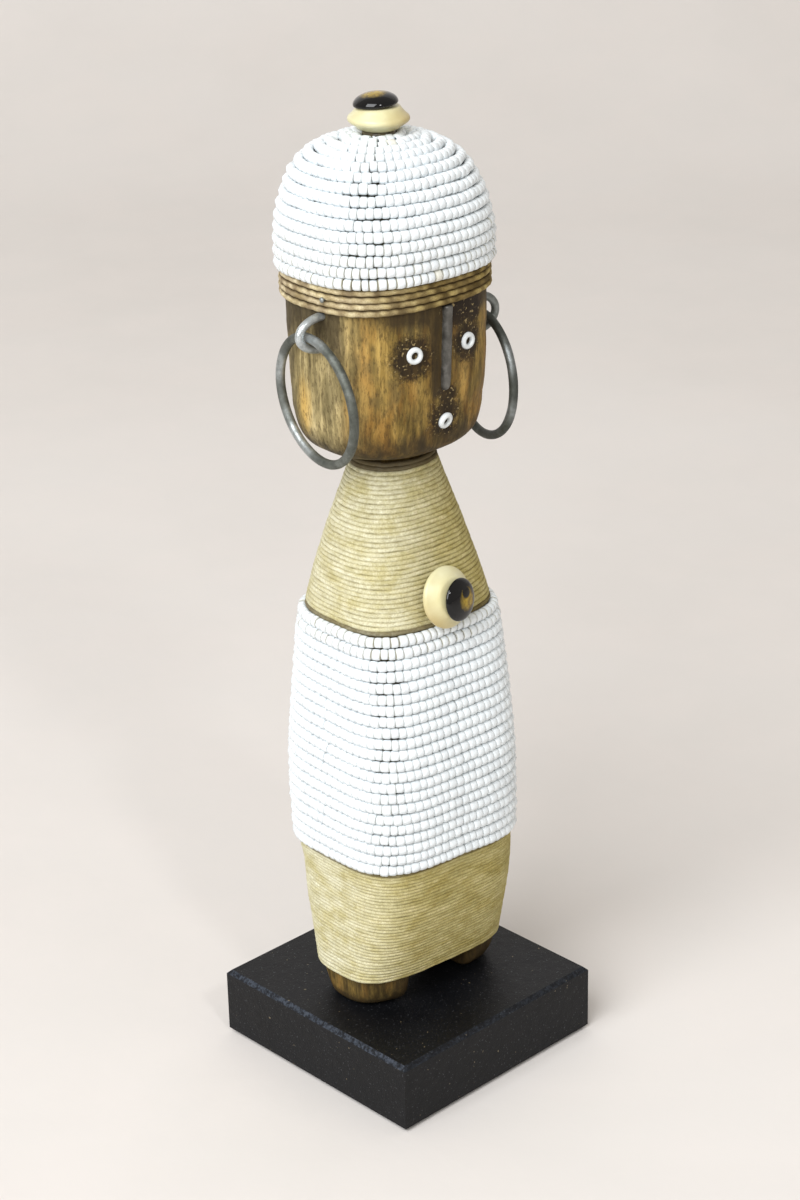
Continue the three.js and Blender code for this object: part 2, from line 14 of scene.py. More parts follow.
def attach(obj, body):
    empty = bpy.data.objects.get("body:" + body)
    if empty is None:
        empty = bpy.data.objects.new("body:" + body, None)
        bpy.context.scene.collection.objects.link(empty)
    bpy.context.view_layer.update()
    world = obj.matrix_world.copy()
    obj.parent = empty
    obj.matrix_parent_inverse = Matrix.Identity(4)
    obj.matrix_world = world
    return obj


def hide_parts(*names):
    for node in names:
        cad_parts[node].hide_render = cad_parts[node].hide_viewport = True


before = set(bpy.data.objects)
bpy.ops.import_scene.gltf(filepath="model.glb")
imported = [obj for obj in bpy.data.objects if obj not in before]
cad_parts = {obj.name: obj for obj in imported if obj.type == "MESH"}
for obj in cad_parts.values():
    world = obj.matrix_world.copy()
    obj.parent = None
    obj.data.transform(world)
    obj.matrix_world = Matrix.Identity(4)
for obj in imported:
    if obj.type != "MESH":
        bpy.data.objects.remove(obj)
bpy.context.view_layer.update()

# Units, and how the doll stands on its block
MM = 0.001
TURN = math.radians(-4)
LEAN_HEADING = math.radians(-39.5)
LEAN_PER_MM = -0.0115
FOOT_SHIFT = 1.0

# Heights that divide the doll, in millimetres
SOLE_Z = 21.3
WRAP_BOTTOM_Z = 31.0
TUNIC_BOTTOM_Z = 69.1
TUNIC_TOP_Z = 139.2
NECK_SHADE_Z = 180.0
WRAP_TOP_Z = 184.5
CHIN_Z = 185.5
BAND_BOTTOM_Z = 228.6
BAND_TOP_Z = 235.6
CAP_BOTTOM_Z = 235.9
CAP_TOP_Z = 269.7

# How low an edge hangs for each millimetre to the right of the middle, and behind a line
HANG_LINE_Y = -15.0
NO_HANG = (0.0, 0.0)
WRAP_HANG = (0.02, 0.05)
TUNIC_HANG = (0.06, 0.045)

# How far from its edge a piece still hangs
WRAP_HANG_FADE = 9.5
TUNIC_HANG_FADE = 24.0

# Outer surface of the twine on the body: height, half width, half depth, squareness of the section,
# and a further shift of its middle along the lean
BODY = [
    (31, 27.4, 16.8, 3.3, -0.2),
    (50, 27.2, 21.6, 3.6, 0),
    (60, 27.3, 23.0, 3.6, 0.2),
    (68.5, 27.4, 24.1, 3.6, -0.3),
    (93, 26.9, 25.3, 3.6, -0.4),
    (118, 25.2, 23.4, 3.6, -0.1),
    (139, 23.9, 21.3, 3.1, -0.1),
    (160, 19.4, 16.2, 2.6, -0.3),
    (181, 12.6, 10.9, 2.1, 0),
    (185, 11.7, 10.2, 2.1, 0),
]

# Wooden head, from under the chin up to the foot of the dome under the cap
HEAD = [
    (185.5, 13.7, 13.4, 2.3, 0),
    (187.7, 21.1, 17.0, 2.4, 0),
    (191, 24.4, 18.7, 2.5, -0.4),
    (198, 25.7, 19.8, 2.6, -0.6),
    (207, 26.2, 20.8, 2.6, -0.4),
    (218, 26.2, 21.5, 2.6, -0.3),
    (229, 26.1, 22.1, 2.6, -0.3),
    (236, 25.9, 22.4, 2.6, -0.3),
]

# Outer surface of the bead cap, whose crown sits a little to the side
CAP = [
    (235.9, 28.7, 25.2, 2.55, -0.2),
    (247, 27.9, 25.6, 2.55, -0.3),
    (257, 25.3, 23.2, 2.5, -0.5),
    (264, 20.7, 19.4, 2.4, -0.8),
    (267.7, 13.2, 12.6, 2.2, -0.9),
    (269.7, 0, 0, 2, -0.9),
]

# How far each layer stands out from those surfaces
TUNIC_OUT = 1.6
BAND_OUT = 1.4
CORE_OUT = -1.5
CROWN_OUT = -3.2

# Beads: the rings along a bead, and their radii where the beads sit loosely and where they are snug
TUNIC_ROWS = 22
CAP_ROWS = 17
BEAD_DIAMETER = 3.28
BEAD_LENGTH = 2.3
CAP_BEAD_LENGTH = 2.208
BEAD_SIDES = 8
BEAD_STATIONS = np.array([-0.46, -0.51, -0.42, -0.22, 0.22, 0.42, 0.51, 0.46])
BEAD_LOOSE = np.array([0.40, 0.70, 0.92, 1.0, 1.0, 0.92, 0.70, 0.40])
BEAD_SNUG = np.array([0.46, 0.79, 0.935, 1.0, 1.0, 0.935, 0.79, 0.46])
YELLOWED_SHARE = 0.0008

# Painted shade between the beads of most rows, of the two top rows of the tunic, and of the cap's rows from
# below
TUNIC_BEAD_SHADE = 0.05
TUNIC_TOP_BEAD_SHADE = 0.65
CAP_BEAD_SHADE = [0.88, 0.58, 0.48, 0.33, 0.23] + [0.08] * (CAP_ROWS - 5)

# Skin of thread behind the beads
THREAD_DEPTH = 2.1
THREAD_SIDES = 96
THREAD_RINGS = 40

# Twine wound round the body. A strand climbs a row from a share of the way round, over a share of a turn
STRAND_SIDES = 8
STRAND_STEP = 1.1
BACK_SHARE = 0.2
CLIMB = 0.1
# Each wrap's second table lists painted shade: a strength and the heights over which it comes in, under the
# tunic's hem, at the lowest windings, under the chin and above the tunic.
WRAPS = {
    "lower": {
        "winding": {
            "low": WRAP_BOTTOM_Z, "high": TUNIC_BOTTOM_Z + 0.5, "pitch": 1.05, "thick": 1.36,
            "seed": 1, "hangs": (WRAP_HANG, TUNIC_HANG), "aged_range": (-20, 9),
        },
        "twine_shade": (
            (0.7, TUNIC_BOTTOM_Z - 1.4, TUNIC_BOTTOM_Z - 0.5),
            (0.2, WRAP_BOTTOM_Z + 2, WRAP_BOTTOM_Z),
        ),
    },
    "upper": {
        "winding": {
            "low": TUNIC_TOP_Z - 0.4, "high": WRAP_TOP_Z, "pitch": 1.2, "thick": 1.5,
            "seed": 2, "hangs": (NO_HANG, NO_HANG), "aged_range": (-2, 17),
        },
        "twine_shade": (
            (0.85, NECK_SHADE_Z, NECK_SHADE_Z + 1.2),
            (0.7, TUNIC_TOP_Z + 1.8, TUNIC_TOP_Z + 0.6),
        ),
    },
}

# Rope of the head band
BAND_TURNS = 4
ROPE_THICK = 1.85
ROPE_TWIST = 3.4
ROPE_SIDES = 12
ROPE_STEP = 0.42

# Carved wood: the feet, each with its side, inner edge, extra width and squareness, and the head
HEAD_SIDES = 200
FOOT_SIDES = 56
FOOT_ROUNDING = 0.9
FOOT_TOP_Z = 34.5
SOLE_RIM = 1.6
SOLE_HALF = np.array([24.2, 9.6])
FOOT_GROWTH = np.array([1.7, 5.7])
FEET = ((-1, 11.0, 1.1, 2.5), (1, 11.4, -1.3, 3.8))

# Upright bands of painted highlight on the wood: strength, place and width across the head, height and reach
# up and down
HIGHLIGHT_BANDS = [
    (0.95, -22.5, 2.0, 200, 9),
    (0.75, -5.5, 2.2, 209, 12),
    (0.5, -10.5, 1.5, 206, 10),
    (0.9, 18.8, 1.2, 207, 9),
    (0.8, 7.0, 0.9, 211, 8),
]

# Face
EYE_Z = 216.6
LEFT_EYE_X = -9.6
RIGHT_EYE_X = 8.6
MOUTH_X = 1.7
MOUTH_Z = 195.9
NOSE_X = 0.7
NOSE_TOP_Z = 228.2
NOSE_TIP_Z = 204.9
NOSE_HALF = 1.42
NOSE_RISE = 1.65
NOSE_SINK = 0.6

# Face beads: node, place, and the slant of each
FACE_BEADS = (
    ("left_eye_bead", LEFT_EYE_X, EYE_Z, (-0.12, 0.0, 0.05)),
    ("right_eye_bead", RIGHT_EYE_X, EYE_Z, (-0.10, 0.0, 0.0)),
    ("mouth_bead", MOUTH_X, MOUTH_Z, (0.10, 0.0, -0.22)),
)
# Face beads take the grey coat all over: their duller colour and painted shade.
FACE_BEAD_LOOKS = {"tint": 0.3, "end": 1.0, "dirt": 0.14}
FACE_BEAD_OUTLINE = [
    (1.0, -0.4), (2.1, -0.4), (2.3, 0.0), (2.32, 0.35), (2.12, 0.78),
    (1.76, 1.02), (1.38, 1.0), (1.1, 0.8), (1.0, 0.4), (1.0, -0.4),
]

# Places where hot iron has blackened the wood, with the reach of each
SCORCH_SPOTS = [
    ((LEFT_EYE_X - 0.6, -19.9, EYE_Z - 1.0), 9.0),
    ((RIGHT_EYE_X + 0.2, -20.2, EYE_Z + 0.2), 8.2),
    ((MOUTH_X, -20.0, MOUTH_Z + 0.8), 8.4),
    ((NOSE_X + 5.2, -21.2, 227), 9.0),
    ((NOSE_X + 9.5, -20.0, 225), 7.0),
    ((NOSE_X + 1.5, -20.6, 203), 5.0),
]

# Pin through the head band
PIN_Y = -6.7
PIN_Z = 232.6
PIN_OUTLINE = [
    (0, -0.6), (0.35, -0.6), (0.35, 0.15), (0.7, 0.2), (0.72, 0.4), (0.55, 0.68), (0.3, 0.8), (0, 0.84),
]

# Button eyes
DISC_BELOW_RIM = 2.8
DISC_ABOVE_RIM = 3.2
DISC_SEAT = 5.2
DISC_RIM = 1.9
DOME_RADIUS = 5.9
DOME_FOOT = 0.4
PUPIL_REACH = 1.8
GLUE_OUTLINE = [(0, -5.4), (3.2, -5.2), (4.4, -4.4), (4.6, -3.5), (4.2, -2.75), (0, -2.75)]
BUTTONS = {
    "top": {
        "middle": (-1.7, 1.8, 273.4), "axis": (0.01, 0, 1), "radius": 8.1,
        "foot": (-2.2, 2.2, 276.9), "dome_axis": (-0.07, 0.045, 1), "height": 3.3,
        "amber": (-2.6, 2.6, 280.2), "reach": 5.0, "pupil": (-2.0, 5.0, 280.0),
        "tan_patch": (4.0, -6.0, 271.5),
    },
    "chest": {
        "middle": (-2.6, -23.2, 147.9), "axis": (0.1, -1, 0.24), "radius": 8.5,
        "foot": (-1.1, -26.4, 147.8), "dome_axis": (0.21, -1, 0.15), "height": 2.3,
        "amber": (0.7, -28.4, 148.0), "reach": 4.4, "pupil": (0.3, -28.1, 149.7),
        "tan_patch": (-9.0, -22.0, 141.5),
    },
}

# Earrings. Bright patches of a hoop, partly wear and partly painted highlight, are angles and widths in
# degrees
WIRE_SIDES = 16
STAPLE_WIRE = 1.13
STAPLE_REACH = 7.4
HOOP_WIRE = 1.25
HOOP_RADIUS = 17.1
HOOP_RINGS = 120
# A staple's bright patch is partly wear and partly painted highlight, most of it painted highlight on the
# left staple.
STAPLES = {
    "left": {"sign": -1, "root": (-27.2, -4.4, 223.2), "half_span": 4.3, "wear_and_highlight": 1.6},
    "right": {"sign": 1, "root": (25.3, -4.0, 216.5), "half_span": 5.0, "wear_and_highlight": 0.5},
}
HOOPS = {
    "left": {
        "middle": (-30.4, -5.4, 205.5), "heading": 84.8, "splay": -4, "dark": 0.1,
        "wear_and_highlight": ((-52, 26), (20, 16), (95, 14)),
    },
    "right": {
        "middle": (29.7, -2.0, 198.2), "heading": 77.5, "splay": 0.6, "dark": 0.75,
        "wear_and_highlight": ((150, 14), (200, 10)),
    },
}

# Colours along a noise or tint value
WOOD_GOLD = [
    (0.37, (0.150, 0.118, 0.052)),
    (0.47, (0.300, 0.238, 0.108)),
    (0.54, (0.430, 0.345, 0.165)),
    (0.66, (0.620, 0.500, 0.260)),
]
WOOD_BROWN = [
    (0.40, (0.062, 0.042, 0.012)),
    (0.47, (0.155, 0.104, 0.028)),
    (0.54, (0.280, 0.184, 0.048)),
    (0.63, (0.480, 0.322, 0.095)),
]
TWINE_STOPS = (0.3, 0.5, 0.7)
TWINES = {
    "pale_twine": {
        "fresh": ((0.55, 0.53, 0.36), (0.695, 0.685, 0.50), (0.82, 0.82, 0.66)),
        "aged": ((0.37, 0.33, 0.135), (0.51, 0.46, 0.215), (0.66, 0.60, 0.33)),
        "twist_length": 1.7, "twist_shade_and_depth": 0.08, "groove_shade": 0.55, "blotches": 0.75,
    },
    "brown_twine": {
        "fresh": ((0.33, 0.265, 0.17), (0.57, 0.49, 0.33), (0.80, 0.73, 0.53)),
        "aged": ((0.13, 0.095, 0.036), (0.27, 0.205, 0.085), (0.48, 0.39, 0.17)),
        "twist_length": 2.9, "twist_shade_and_depth": 0.17, "groove_shade": 0.8, "blotches": 0.6,
    },
}
BEAD_TINTS = [
    (0.0, (0.74, 0.735, 0.66)),
    (0.01, (0.71, 0.755, 0.78)),
    (0.5, (0.76, 0.805, 0.83)),
    (1.0, (0.80, 0.85, 0.875)),
]
STEEL_GREYS = [(0.3, (0.060, 0.066, 0.054)), (0.52, (0.125, 0.134, 0.116)), (0.72, (0.24, 0.255, 0.235))]
IRON_GREYS = [(0.35, (0.024, 0.022, 0.019)), (0.5, (0.052, 0.050, 0.043)), (0.65, (0.11, 0.106, 0.095))]

# Floor, in metres, and the camera as fitted to the block's corners in the photograph
FLOOR_HALF = 3.0
FLOOR_BACK = 0.9
WALL_BEND = 0.5
WALL_TOP = 2.4
BEND_STEPS = 16
CAMERA_HEADING = math.radians(-43.54)
CAMERA_ELEVATION = math.radians(23.67)
CAMERA_ROLL = math.radians(-1.27)
CAMERA_DISTANCE = 0.7443
CAMERA_TARGET = Vector((0.25, -0.17, 138.75)) * MM
LIGHT_TARGET = (0, 0, 0.13)


# Surfaces


def along(stations, column, z):
    """Smooth value of one column of a list of stations at a height, or at an array of heights."""
    zs, vs = np.array(stations, float)[:, [0, column]].T
    wide_zs, wide_vs = np.pad(zs, 1, "edge"), np.pad(vs, 1, "edge")
    slopes = (wide_vs[2:] - wide_vs[:-2]) / (wide_zs[2:] - wide_zs[:-2])
    z = np.clip(z, zs[0], zs[-1])
    i = np.clip(np.searchsorted(zs, z, side="right") - 1, 0, len(zs) - 2)
    span = zs[i + 1] - zs[i]
    t = (z - zs[i]) / span
    u = 1 - t
    ends = vs[i] * (1 + 2 * t) * u * u + vs[i + 1] * t * t * (3 - 2 * t)
    return ends + slopes[i] * span * t * u * u - slopes[i + 1] * span * t * t * u


def middle(z, further=0.0):
    """Middle of the doll at a height, with its sideways lean and any further shift."""
    shift = FOOT_SHIFT + LEAN_PER_MM * (z - WRAP_BOTTOM_Z) + further
    return shift * math.cos(LEAN_HEADING), shift * math.sin(LEAN_HEADING)


def hang(place, rates, edge_z, fade):
    """How far points hang down by their place, less and less away from the height of an edge."""
    right, behind = rates
    low = right * np.maximum(0, place[..., 0]) + behind * np.maximum(0, place[..., 1] - HANG_LINE_Y)
    return low * np.clip(1 - np.abs(place[..., 2] - edge_z) / fade, 0, 1)


def toward_front_right(place):
    """How far points lie towards the front right corner, in millimetres, on the side that has darkened."""
    return 0.725 * place[..., 0] - 0.688 * place[..., 1]


def bump_at(value, middle_value, width):
    """Soft bump of height 1 round a value."""
    return np.exp(-(((value - middle_value) / width) ** 2))


def ramp_up(value, start, end):
    """0 on the start's side, 1 on the end's side, and smooth between them."""
    t = np.clip((value - start) / (end - start), 0, 1)
    return t * t * (3 - 2 * t)


def unit(vectors):
    """Directions of an array of vectors."""
    return vectors / np.maximum(np.linalg.norm(vectors, axis=-1, keepdims=True), 1e-9)


def travelled(path):
    """Distance from the start of a path to each of its points."""
    return np.concatenate([[0], np.cumsum(np.linalg.norm(np.diff(path, axis=0), axis=1))])


def grown(stations, out):
    """Stations of the same surface moved out by a distance."""
    return [(z, x + out, y + out, n, shift) for z, x, y, n, shift in stations]


def superellipse(x, y, n, angle):
    """Point of a superellipse at an angle parameter."""
    c, s = np.cos(angle), np.sin(angle)
    return x * np.sign(c) * np.abs(c) ** (2 / n), y * np.sign(s) * np.abs(s) ** (2 / n)


class Section:
    """Sections of a list of stations, walked by their share of the way round at each height."""

    SHARES = 512
    LEVELS = 60
    FINE_STEPS = 2881
    GIRTH_STEPS = 721
    TANGENT_STEP = 0.02

    def __init__(self, stations, low, high):
        self.stations = stations
        self.low = low
        self.high = high
        fine = np.linspace(0, 2 * math.pi, self.FINE_STEPS)
        table = []
        for z in np.linspace(low, high, self.LEVELS):
            x, y, n = (max(float(along(stations, k, z)), 1e-3) for k in (1, 2, 3))
            run = travelled(np.stack(superellipse(x, y, n, fine), 1))
            table.append(np.interp(np.linspace(0, 1, self.SHARES + 1), run / run[-1], fine))
        self.angles = np.array(table)

    def angle(self, z, share):
        """Angle parameter at a share of the way round."""
        level = (np.clip(z, self.low, self.high) - self.low) / (self.high - self.low) * (self.LEVELS - 1)
        place = (share - np.floor(share)) * self.SHARES
        i = np.clip(level.astype(int), 0, self.LEVELS - 2)
        j = np.clip(place.astype(int), 0, self.SHARES - 1)
        f = level - i
        g = place - j
        one = self.angles[i, j] * (1 - g) + self.angles[i, j + 1] * g
        two = self.angles[i + 1, j] * (1 - g) + self.angles[i + 1, j + 1] * g
        return one * (1 - f) + two * f

    def point(self, z, share, offset=0.0):
        """Points of the surface moved out by an offset, and the outward and tangent directions there."""
        angle = self.angle(z, share)
        x, y, n = (along(self.stations, k, z) for k in (1, 2, 3))
        cx, cy = middle(z, along(self.stations, 4, z))
        px, py = superellipse(x, y, n, angle)
        ax, ay = superellipse(x, y, n, angle - self.TANGENT_STEP)
        bx, by = superellipse(x, y, n, angle + self.TANGENT_STEP)
        tangent = unit(np.stack([bx - ax, by - ay, 0 * z], -1))
        out = np.stack([tangent[..., 1], -tangent[..., 0], 0 * z], -1)
        place = np.stack([cx + px, cy + py, z], -1) + out * np.asarray(offset)[..., None]
        return place, out, tangent

    def girth(self, z):
        """Length once round at a height."""
        share = np.linspace(0, 1, self.GIRTH_STEPS)
        return travelled(self.point(np.full(self.GIRTH_STEPS, float(z)), share)[0])[-1]


# Meshes


def to_world(points):
    """Points of the doll's own frame in millimetres, turned and in metres."""
    x, y, z = np.asarray(points, float).T
    c, s = math.cos(TURN), math.sin(TURN)
    return np.stack([x * c - y * s, x * s + y * c, z], 1) * MM


def add_object(name, data):
    """Adds an object to the scene and returns it."""
    item = bpy.data.objects.new(name, data)
    bpy.context.scene.collection.objects.link(item)
    return item


def add_mesh(name, points, faces, material):
    """Adds a smooth mesh of points in metres and returns its object."""
    mesh = bpy.data.meshes.new(name)
    mesh.from_pydata(points, [], faces)
    mesh.shade_smooth()
    mesh.materials.append(material)
    return add_object(name, mesh)


def make_piece(name, points, faces, material, node, layers=None):
    """Adds a mesh piece that stands for a CAD node. Layers are named values, one for each point."""
    piece = add_mesh(name, to_world(points).tolist(), [list(map(int, f)) for f in faces], material)
    for key, values in (layers or {}).items():
        layer = piece.data.attributes.new(key, "FLOAT", "POINT")
        layer.data.foreach_set("value", np.asarray(values, np.float32))
    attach(piece, "root")
    if node:
        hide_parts(node)


def grid_faces(rows, columns, wrap=True):
    """Faces of a grid of points, row by row. With wrap its last column joins the first."""
    c = np.arange(columns if wrap else columns - 1)
    a = np.arange(rows - 1)[:, None] * columns + c
    b = np.arange(rows - 1)[:, None] * columns + (c + 1) % columns
    return np.stack([a, b, b + columns, a + columns], -1).reshape(-1, 4)


def closed_faces(rows, columns):
    """Faces of a tube whose last ring joins its first."""
    return grid_faces(rows + 1, columns) % (rows * columns)


def capped_faces(rows, columns, wrap=True):
    """Faces of a grid of points whose first and last rows are filled in."""
    last = (rows - 1) * columns
    caps = [list(range(columns))[::-1], [last + k for k in range(columns)]]
    return grid_faces(rows, columns, wrap).tolist() + caps


def ring_points(points, outward, side, radius, sides):
    """Rings of points round a path, spread over an outward and a side direction."""
    around = 2 * math.pi * np.arange(sides)[:, None] / sides
    ring = np.cos(around) * outward[..., None, :] + np.sin(around) * side[..., None, :]
    return (points[:, None, :] + ring * radius).reshape(-1, 3)


def tube(points, outward, radius, sides, closed=False):
    """Tube along a path of points, with an outward direction at each point to start its rings from."""
    if closed:
        forward = unit(np.roll(points, -1, 0) - np.roll(points, 1, 0))
    else:
        forward = unit(np.gradient(points, axis=0))
    outward = unit(outward - (outward * forward).sum(1, keepdims=True) * forward)
    radius = np.broadcast_to(radius, len(points))[:, None, None]
    faces = closed_faces(len(points), sides) if closed else grid_faces(len(points), sides)
    return ring_points(points, outward, np.cross(forward, outward), radius, sides), faces


def lathe(outline, sides):
    """Points and faces of an outline of radii and heights, turned round Z. Radius 0 closes it."""
    angles = [2 * math.pi * k / sides for k in range(sides)]
    points, faces, rings = [], [], []
    for r, z in outline:
        ring = [(r * math.cos(a), r * math.sin(a), z) for a in (angles if r else [0.0])]
        rings.append([len(points) + k for k in range(len(ring))])
        points += ring
    for low, high in zip(rings, rings[1:]):
        for k in range(sides):
            a, b = low[k % len(low)], low[(k + 1) % len(low)]
            c, d = high[(k + 1) % len(high)], high[k % len(high)]
            faces.append(list(dict.fromkeys((a, b, c, d))))
    return np.array(points), faces


def placed(points, place, direction):
    """Points turned so that their own Z runs along a direction, then moved to a place."""
    turn = Vector((0, 0, 1)).rotation_difference(Vector(direction).normalized())
    return points @ np.array(turn.to_matrix()).T + np.array(place)


def wander(share, z, scale, seed):
    """Smooth noise round the doll that joins up with itself, at an array of places."""
    r = 1.3 * scale
    return np.array([
        noise.noise((r * math.cos(a), r * math.sin(a) + 7.3 * seed, 0.11 * scale * height + 3.1 * seed))
        for a, height in zip(2 * math.pi * share, z)
    ])


def ring_noise(angles, scale, seed):
    """Smooth noise round a ring, at an array of angles."""
    return np.array([noise.noise((scale * math.cos(a), scale * math.sin(a), seed)) for a in angles])


# Materials


class Nodes:
    """Small helper that builds a material's node tree."""

    def __init__(self, name):
        self.material = bpy.data.materials.new(name)
        self.material.use_nodes = True
        self.tree = self.material.node_tree
        self.tree.nodes.clear()
        self.place = self.add("ShaderNodeTexCoord").outputs["Object"]

    def add(self, kind, inputs=(), **settings):
        """New node with its settings, and with constants or other nodes' outputs in its inputs."""
        node = self.tree.nodes.new(kind)
        for key, value in settings.items():
            setattr(node, key, value)
        for key, value in dict(inputs).items():
            socket = node.inputs[key]
            if isinstance(value, bpy.types.NodeSocket):
                self.tree.links.new(value, socket)
            else:
                socket.default_value = (*value, 1) if socket.type == "RGBA" else value
        return node

    def noise(self, scale, detail, rough, distortion=0.0):
        """Noise over the object. Its scale is for a metre, and one for each direction or for all."""
        scale = scale if isinstance(scale, tuple) else (scale,) * 3
        place = self.add("ShaderNodeMapping", {"Vector": self.place, "Scale": scale}).outputs["Vector"]
        inputs = {"Vector": place, "Scale": 1.0, "Detail": detail, "Roughness": rough}
        inputs["Distortion"] = distortion
        return self.add("ShaderNodeTexNoise", inputs).outputs["Fac"]

    def ramp(self, value, stops):
        """Colours or greys at positions along a value."""
        node = self.add("ShaderNodeValToRGB", {"Fac": value})
        elements = node.color_ramp.elements
        while len(elements) < len(stops):
            elements.new(0.5)
        for element, (at, colour) in zip(elements, stops):
            element.position = at
            element.color = (*colour, 1) if isinstance(colour, tuple) else (colour,) * 3 + (1,)
        return node.outputs["Color"]

    def mask(self, value, empty, full):
        """0 where a value is beyond one number, and 1 where it is beyond the other."""
        return self.ramp(value, sorted([(empty, 0.0), (full, 1.0)]))

    def math(self, operation, a, b=0.0, clamp=False):
        return self.add("ShaderNodeMath", {0: a, 1: b}, operation=operation, use_clamp=clamp).outputs[0]

    def times(self, a, b, clamp=False):
        return self.math("MULTIPLY", a, b, clamp)

    def plus(self, start, value, share):
        """A start with a share of a value added."""
        return self.math("ADD", start, self.times(value, share))

    def mix(self, factor, a, b, mode="MIX"):
        """Two colours mixed by a factor."""
        inputs = {"Factor": factor, 6: a, 7: b}
        return self.add("ShaderNodeMix", inputs, data_type="RGBA", blend_type=mode).outputs[2]

    def coat(self, colour, tint, where, share=1.0, mode="MIX"):
        """Colour with a share of a tint laid over part of it."""
        return self.mix(self.times(where, share), colour, tint, mode)

    def attribute(self, name):
        """Values that the mesh holds for each point."""
        return self.add("ShaderNodeAttribute", attribute_name=name).outputs["Fac"]

    def split(self, vector):
        return self.add("ShaderNodeSeparateXYZ", {0: vector}).outputs

    def speckle(self, value, scale, depth):
        """Value made ragged by fine noise."""
        return self.plus(value, self.math("SUBTRACT", self.noise(scale, 4, 0.7), 0.5), depth)

    def near(self, place_mm, reach_mm, soft=1.0):
        """1 at a place of the doll's own frame, falling to 0 at a reach away."""
        inputs = {0: self.place, 1: tuple(to_world([place_mm])[0])}
        away = self.add("ShaderNodeVectorMath", inputs, operation="DISTANCE").outputs["Value"]
        share = self.math("DIVIDE", away, reach_mm * MM)
        return self.math("POWER", self.math("SUBTRACT", 1.0, share, clamp=True), soft)

    def bump(self, *layers):
        """Normal shaped by layers, each with its height, strength and distance."""
        below = {}
        for height, strength, distance in layers:
            inputs = {"Height": height, "Strength": strength, "Distance": distance, **below}
            below = {"Normal": self.add("ShaderNodeBump", inputs).outputs["Normal"]}
        return below["Normal"]

    def finish(self, colour, roughness, normal, specular=0.5, metallic=0.0):
        """Adds the surface and returns the material."""
        inputs = {"Base Color": colour, "Roughness": roughness, "Normal": normal}
        inputs.update({"Specular IOR Level": specular, "Metallic": metallic})
        surface = self.add("ShaderNodeBsdfPrincipled", inputs).outputs["BSDF"]
        self.add("ShaderNodeOutputMaterial", {"Surface": surface})
        return self.material


def stone_material():
    """Polished black stone with tiny pale specks and paler chamfered edges, partly wear and partly painted
    highlight, weaker on the right edge.
    """
    n = Nodes("black_stone")
    cloud = n.noise(60, 4, 0.6)
    colour = n.mix(n.mask(cloud, 0.3, 0.75), (0.0026, 0.0028, 0.0036), (0.0058, 0.0062, 0.0076))
    colour = n.coat(colour, (0.085, 0.088, 0.096), n.mask(n.noise(1700, 2, 0.5), 0.66, 0.70), 0.5)
    colour = n.coat(colour, (0.15, 0.12, 0.075), n.mask(n.noise(820, 1, 0.5), 0.77, 0.79))
    # Chamfers: paler, partly wear and partly painted highlight, cut back on the right edge, which faces away
    # from the light.
    nx, ny, nz = n.split(n.add("ShaderNodeTexCoord").outputs["Normal"])
    widest = n.math("MAXIMUM", n.math("MAXIMUM", n.math("ABSOLUTE", nx), n.math("ABSOLUTE", ny)), nz)
    shaded_right_chamfer = n.math("LESS_THAN", ny, -0.5)
    edge = n.times(n.math("LESS_THAN", widest, 0.95), n.plus(1.0, shaded_right_chamfer, -0.65))
    wear_and_highlight = n.ramp(n.noise(700, 5, 0.75), [(0.44, 0.10), (0.60, 1.0)])
    colour = n.coat(colour, (0.060, 0.072, 0.094), n.times(edge, wear_and_highlight), 0.8)
    normal = n.bump((n.noise(3500, 3, 0.6), 0.35, 0.00014), (n.noise(260, 4, 0.6), 0.25, 0.0006))
    return n.finish(colour, n.plus(0.34, cloud, 0.2), normal, specular=0.18)


def wood_material():
    """Old golden wood, with painted highlight in upright bands, painted shade under the band, under the
    chin, beside the nose and on the feet, and scorched round the face.
    """
    n = Nodes("carved_wood")
    aged = n.attribute("aged")
    grain = n.noise((620, 620, 40), 4, 0.62)
    grit = n.noise((1500, 1500, 420), 3, 0.7)
    value = n.plus(n.times(n.noise((150, 150, 36), 6, 0.68, distortion=0.5), 0.55), grain, 0.45)
    colour = n.mix(aged, n.ramp(value, WOOD_GOLD), n.ramp(value, WOOD_BROWN))
    # Painted highlight: pale upright bands from the light attribute.
    painted_highlight = n.mask(n.speckle(n.attribute("light"), (700, 700, 50), 0.8), 0.2, 0.85)
    colour = n.coat(colour, (0.62, 0.400, 0.115), painted_highlight, 0.8)
    warm = n.mask(n.noise((160, 160, 40), 3, 0.6), 0.48, 0.66)
    colour = n.coat(colour, (0.33, 0.150, 0.030), n.times(warm, aged), 0.45)
    moss = n.mask(n.noise((110, 110, 60), 5, 0.7), 0.46, 0.62)
    colour = n.coat(colour, (0.105, 0.086, 0.038), moss, 0.58)
    colour = n.coat(colour, (0.062, 0.040, 0.016), n.mask(grit, 0.50, 0.36), 0.6)
    # Painted shade: dark brown where shade falls on the wood.
    wood_shade_mask = n.mask(n.speckle(n.attribute("wood_shade"), (430, 430, 160), 0.9), 0.2, 0.8)
    colour = n.coat(colour, (0.034, 0.024, 0.013), wood_shade_mask, 0.85)
    burn = 0.0
    for place, reach in SCORCH_SPOTS:
        burn = n.math("MAXIMUM", burn, n.near(place, reach, 0.8))
    scorched = n.mask(n.speckle(n.speckle(burn, 260, 0.7), 1100, 0.7), 0.22, 0.55)
    colour = n.coat(colour, (0.018, 0.012, 0.008), scorched, 0.9)
    flecks = n.times(n.mask(n.noise(1150, 2, 0.5), 0.62, 0.68), scorched)
    colour = n.coat(colour, (0.42, 0.32, 0.15), flecks, 0.75)
    rough = n.plus(0.46, n.noise(300, 3, 0.6), 0.25)
    return n.finish(colour, rough, n.bump((grain, 0.25, 0.0005), (grit, 0.35, 0.0002)), specular=0.13)


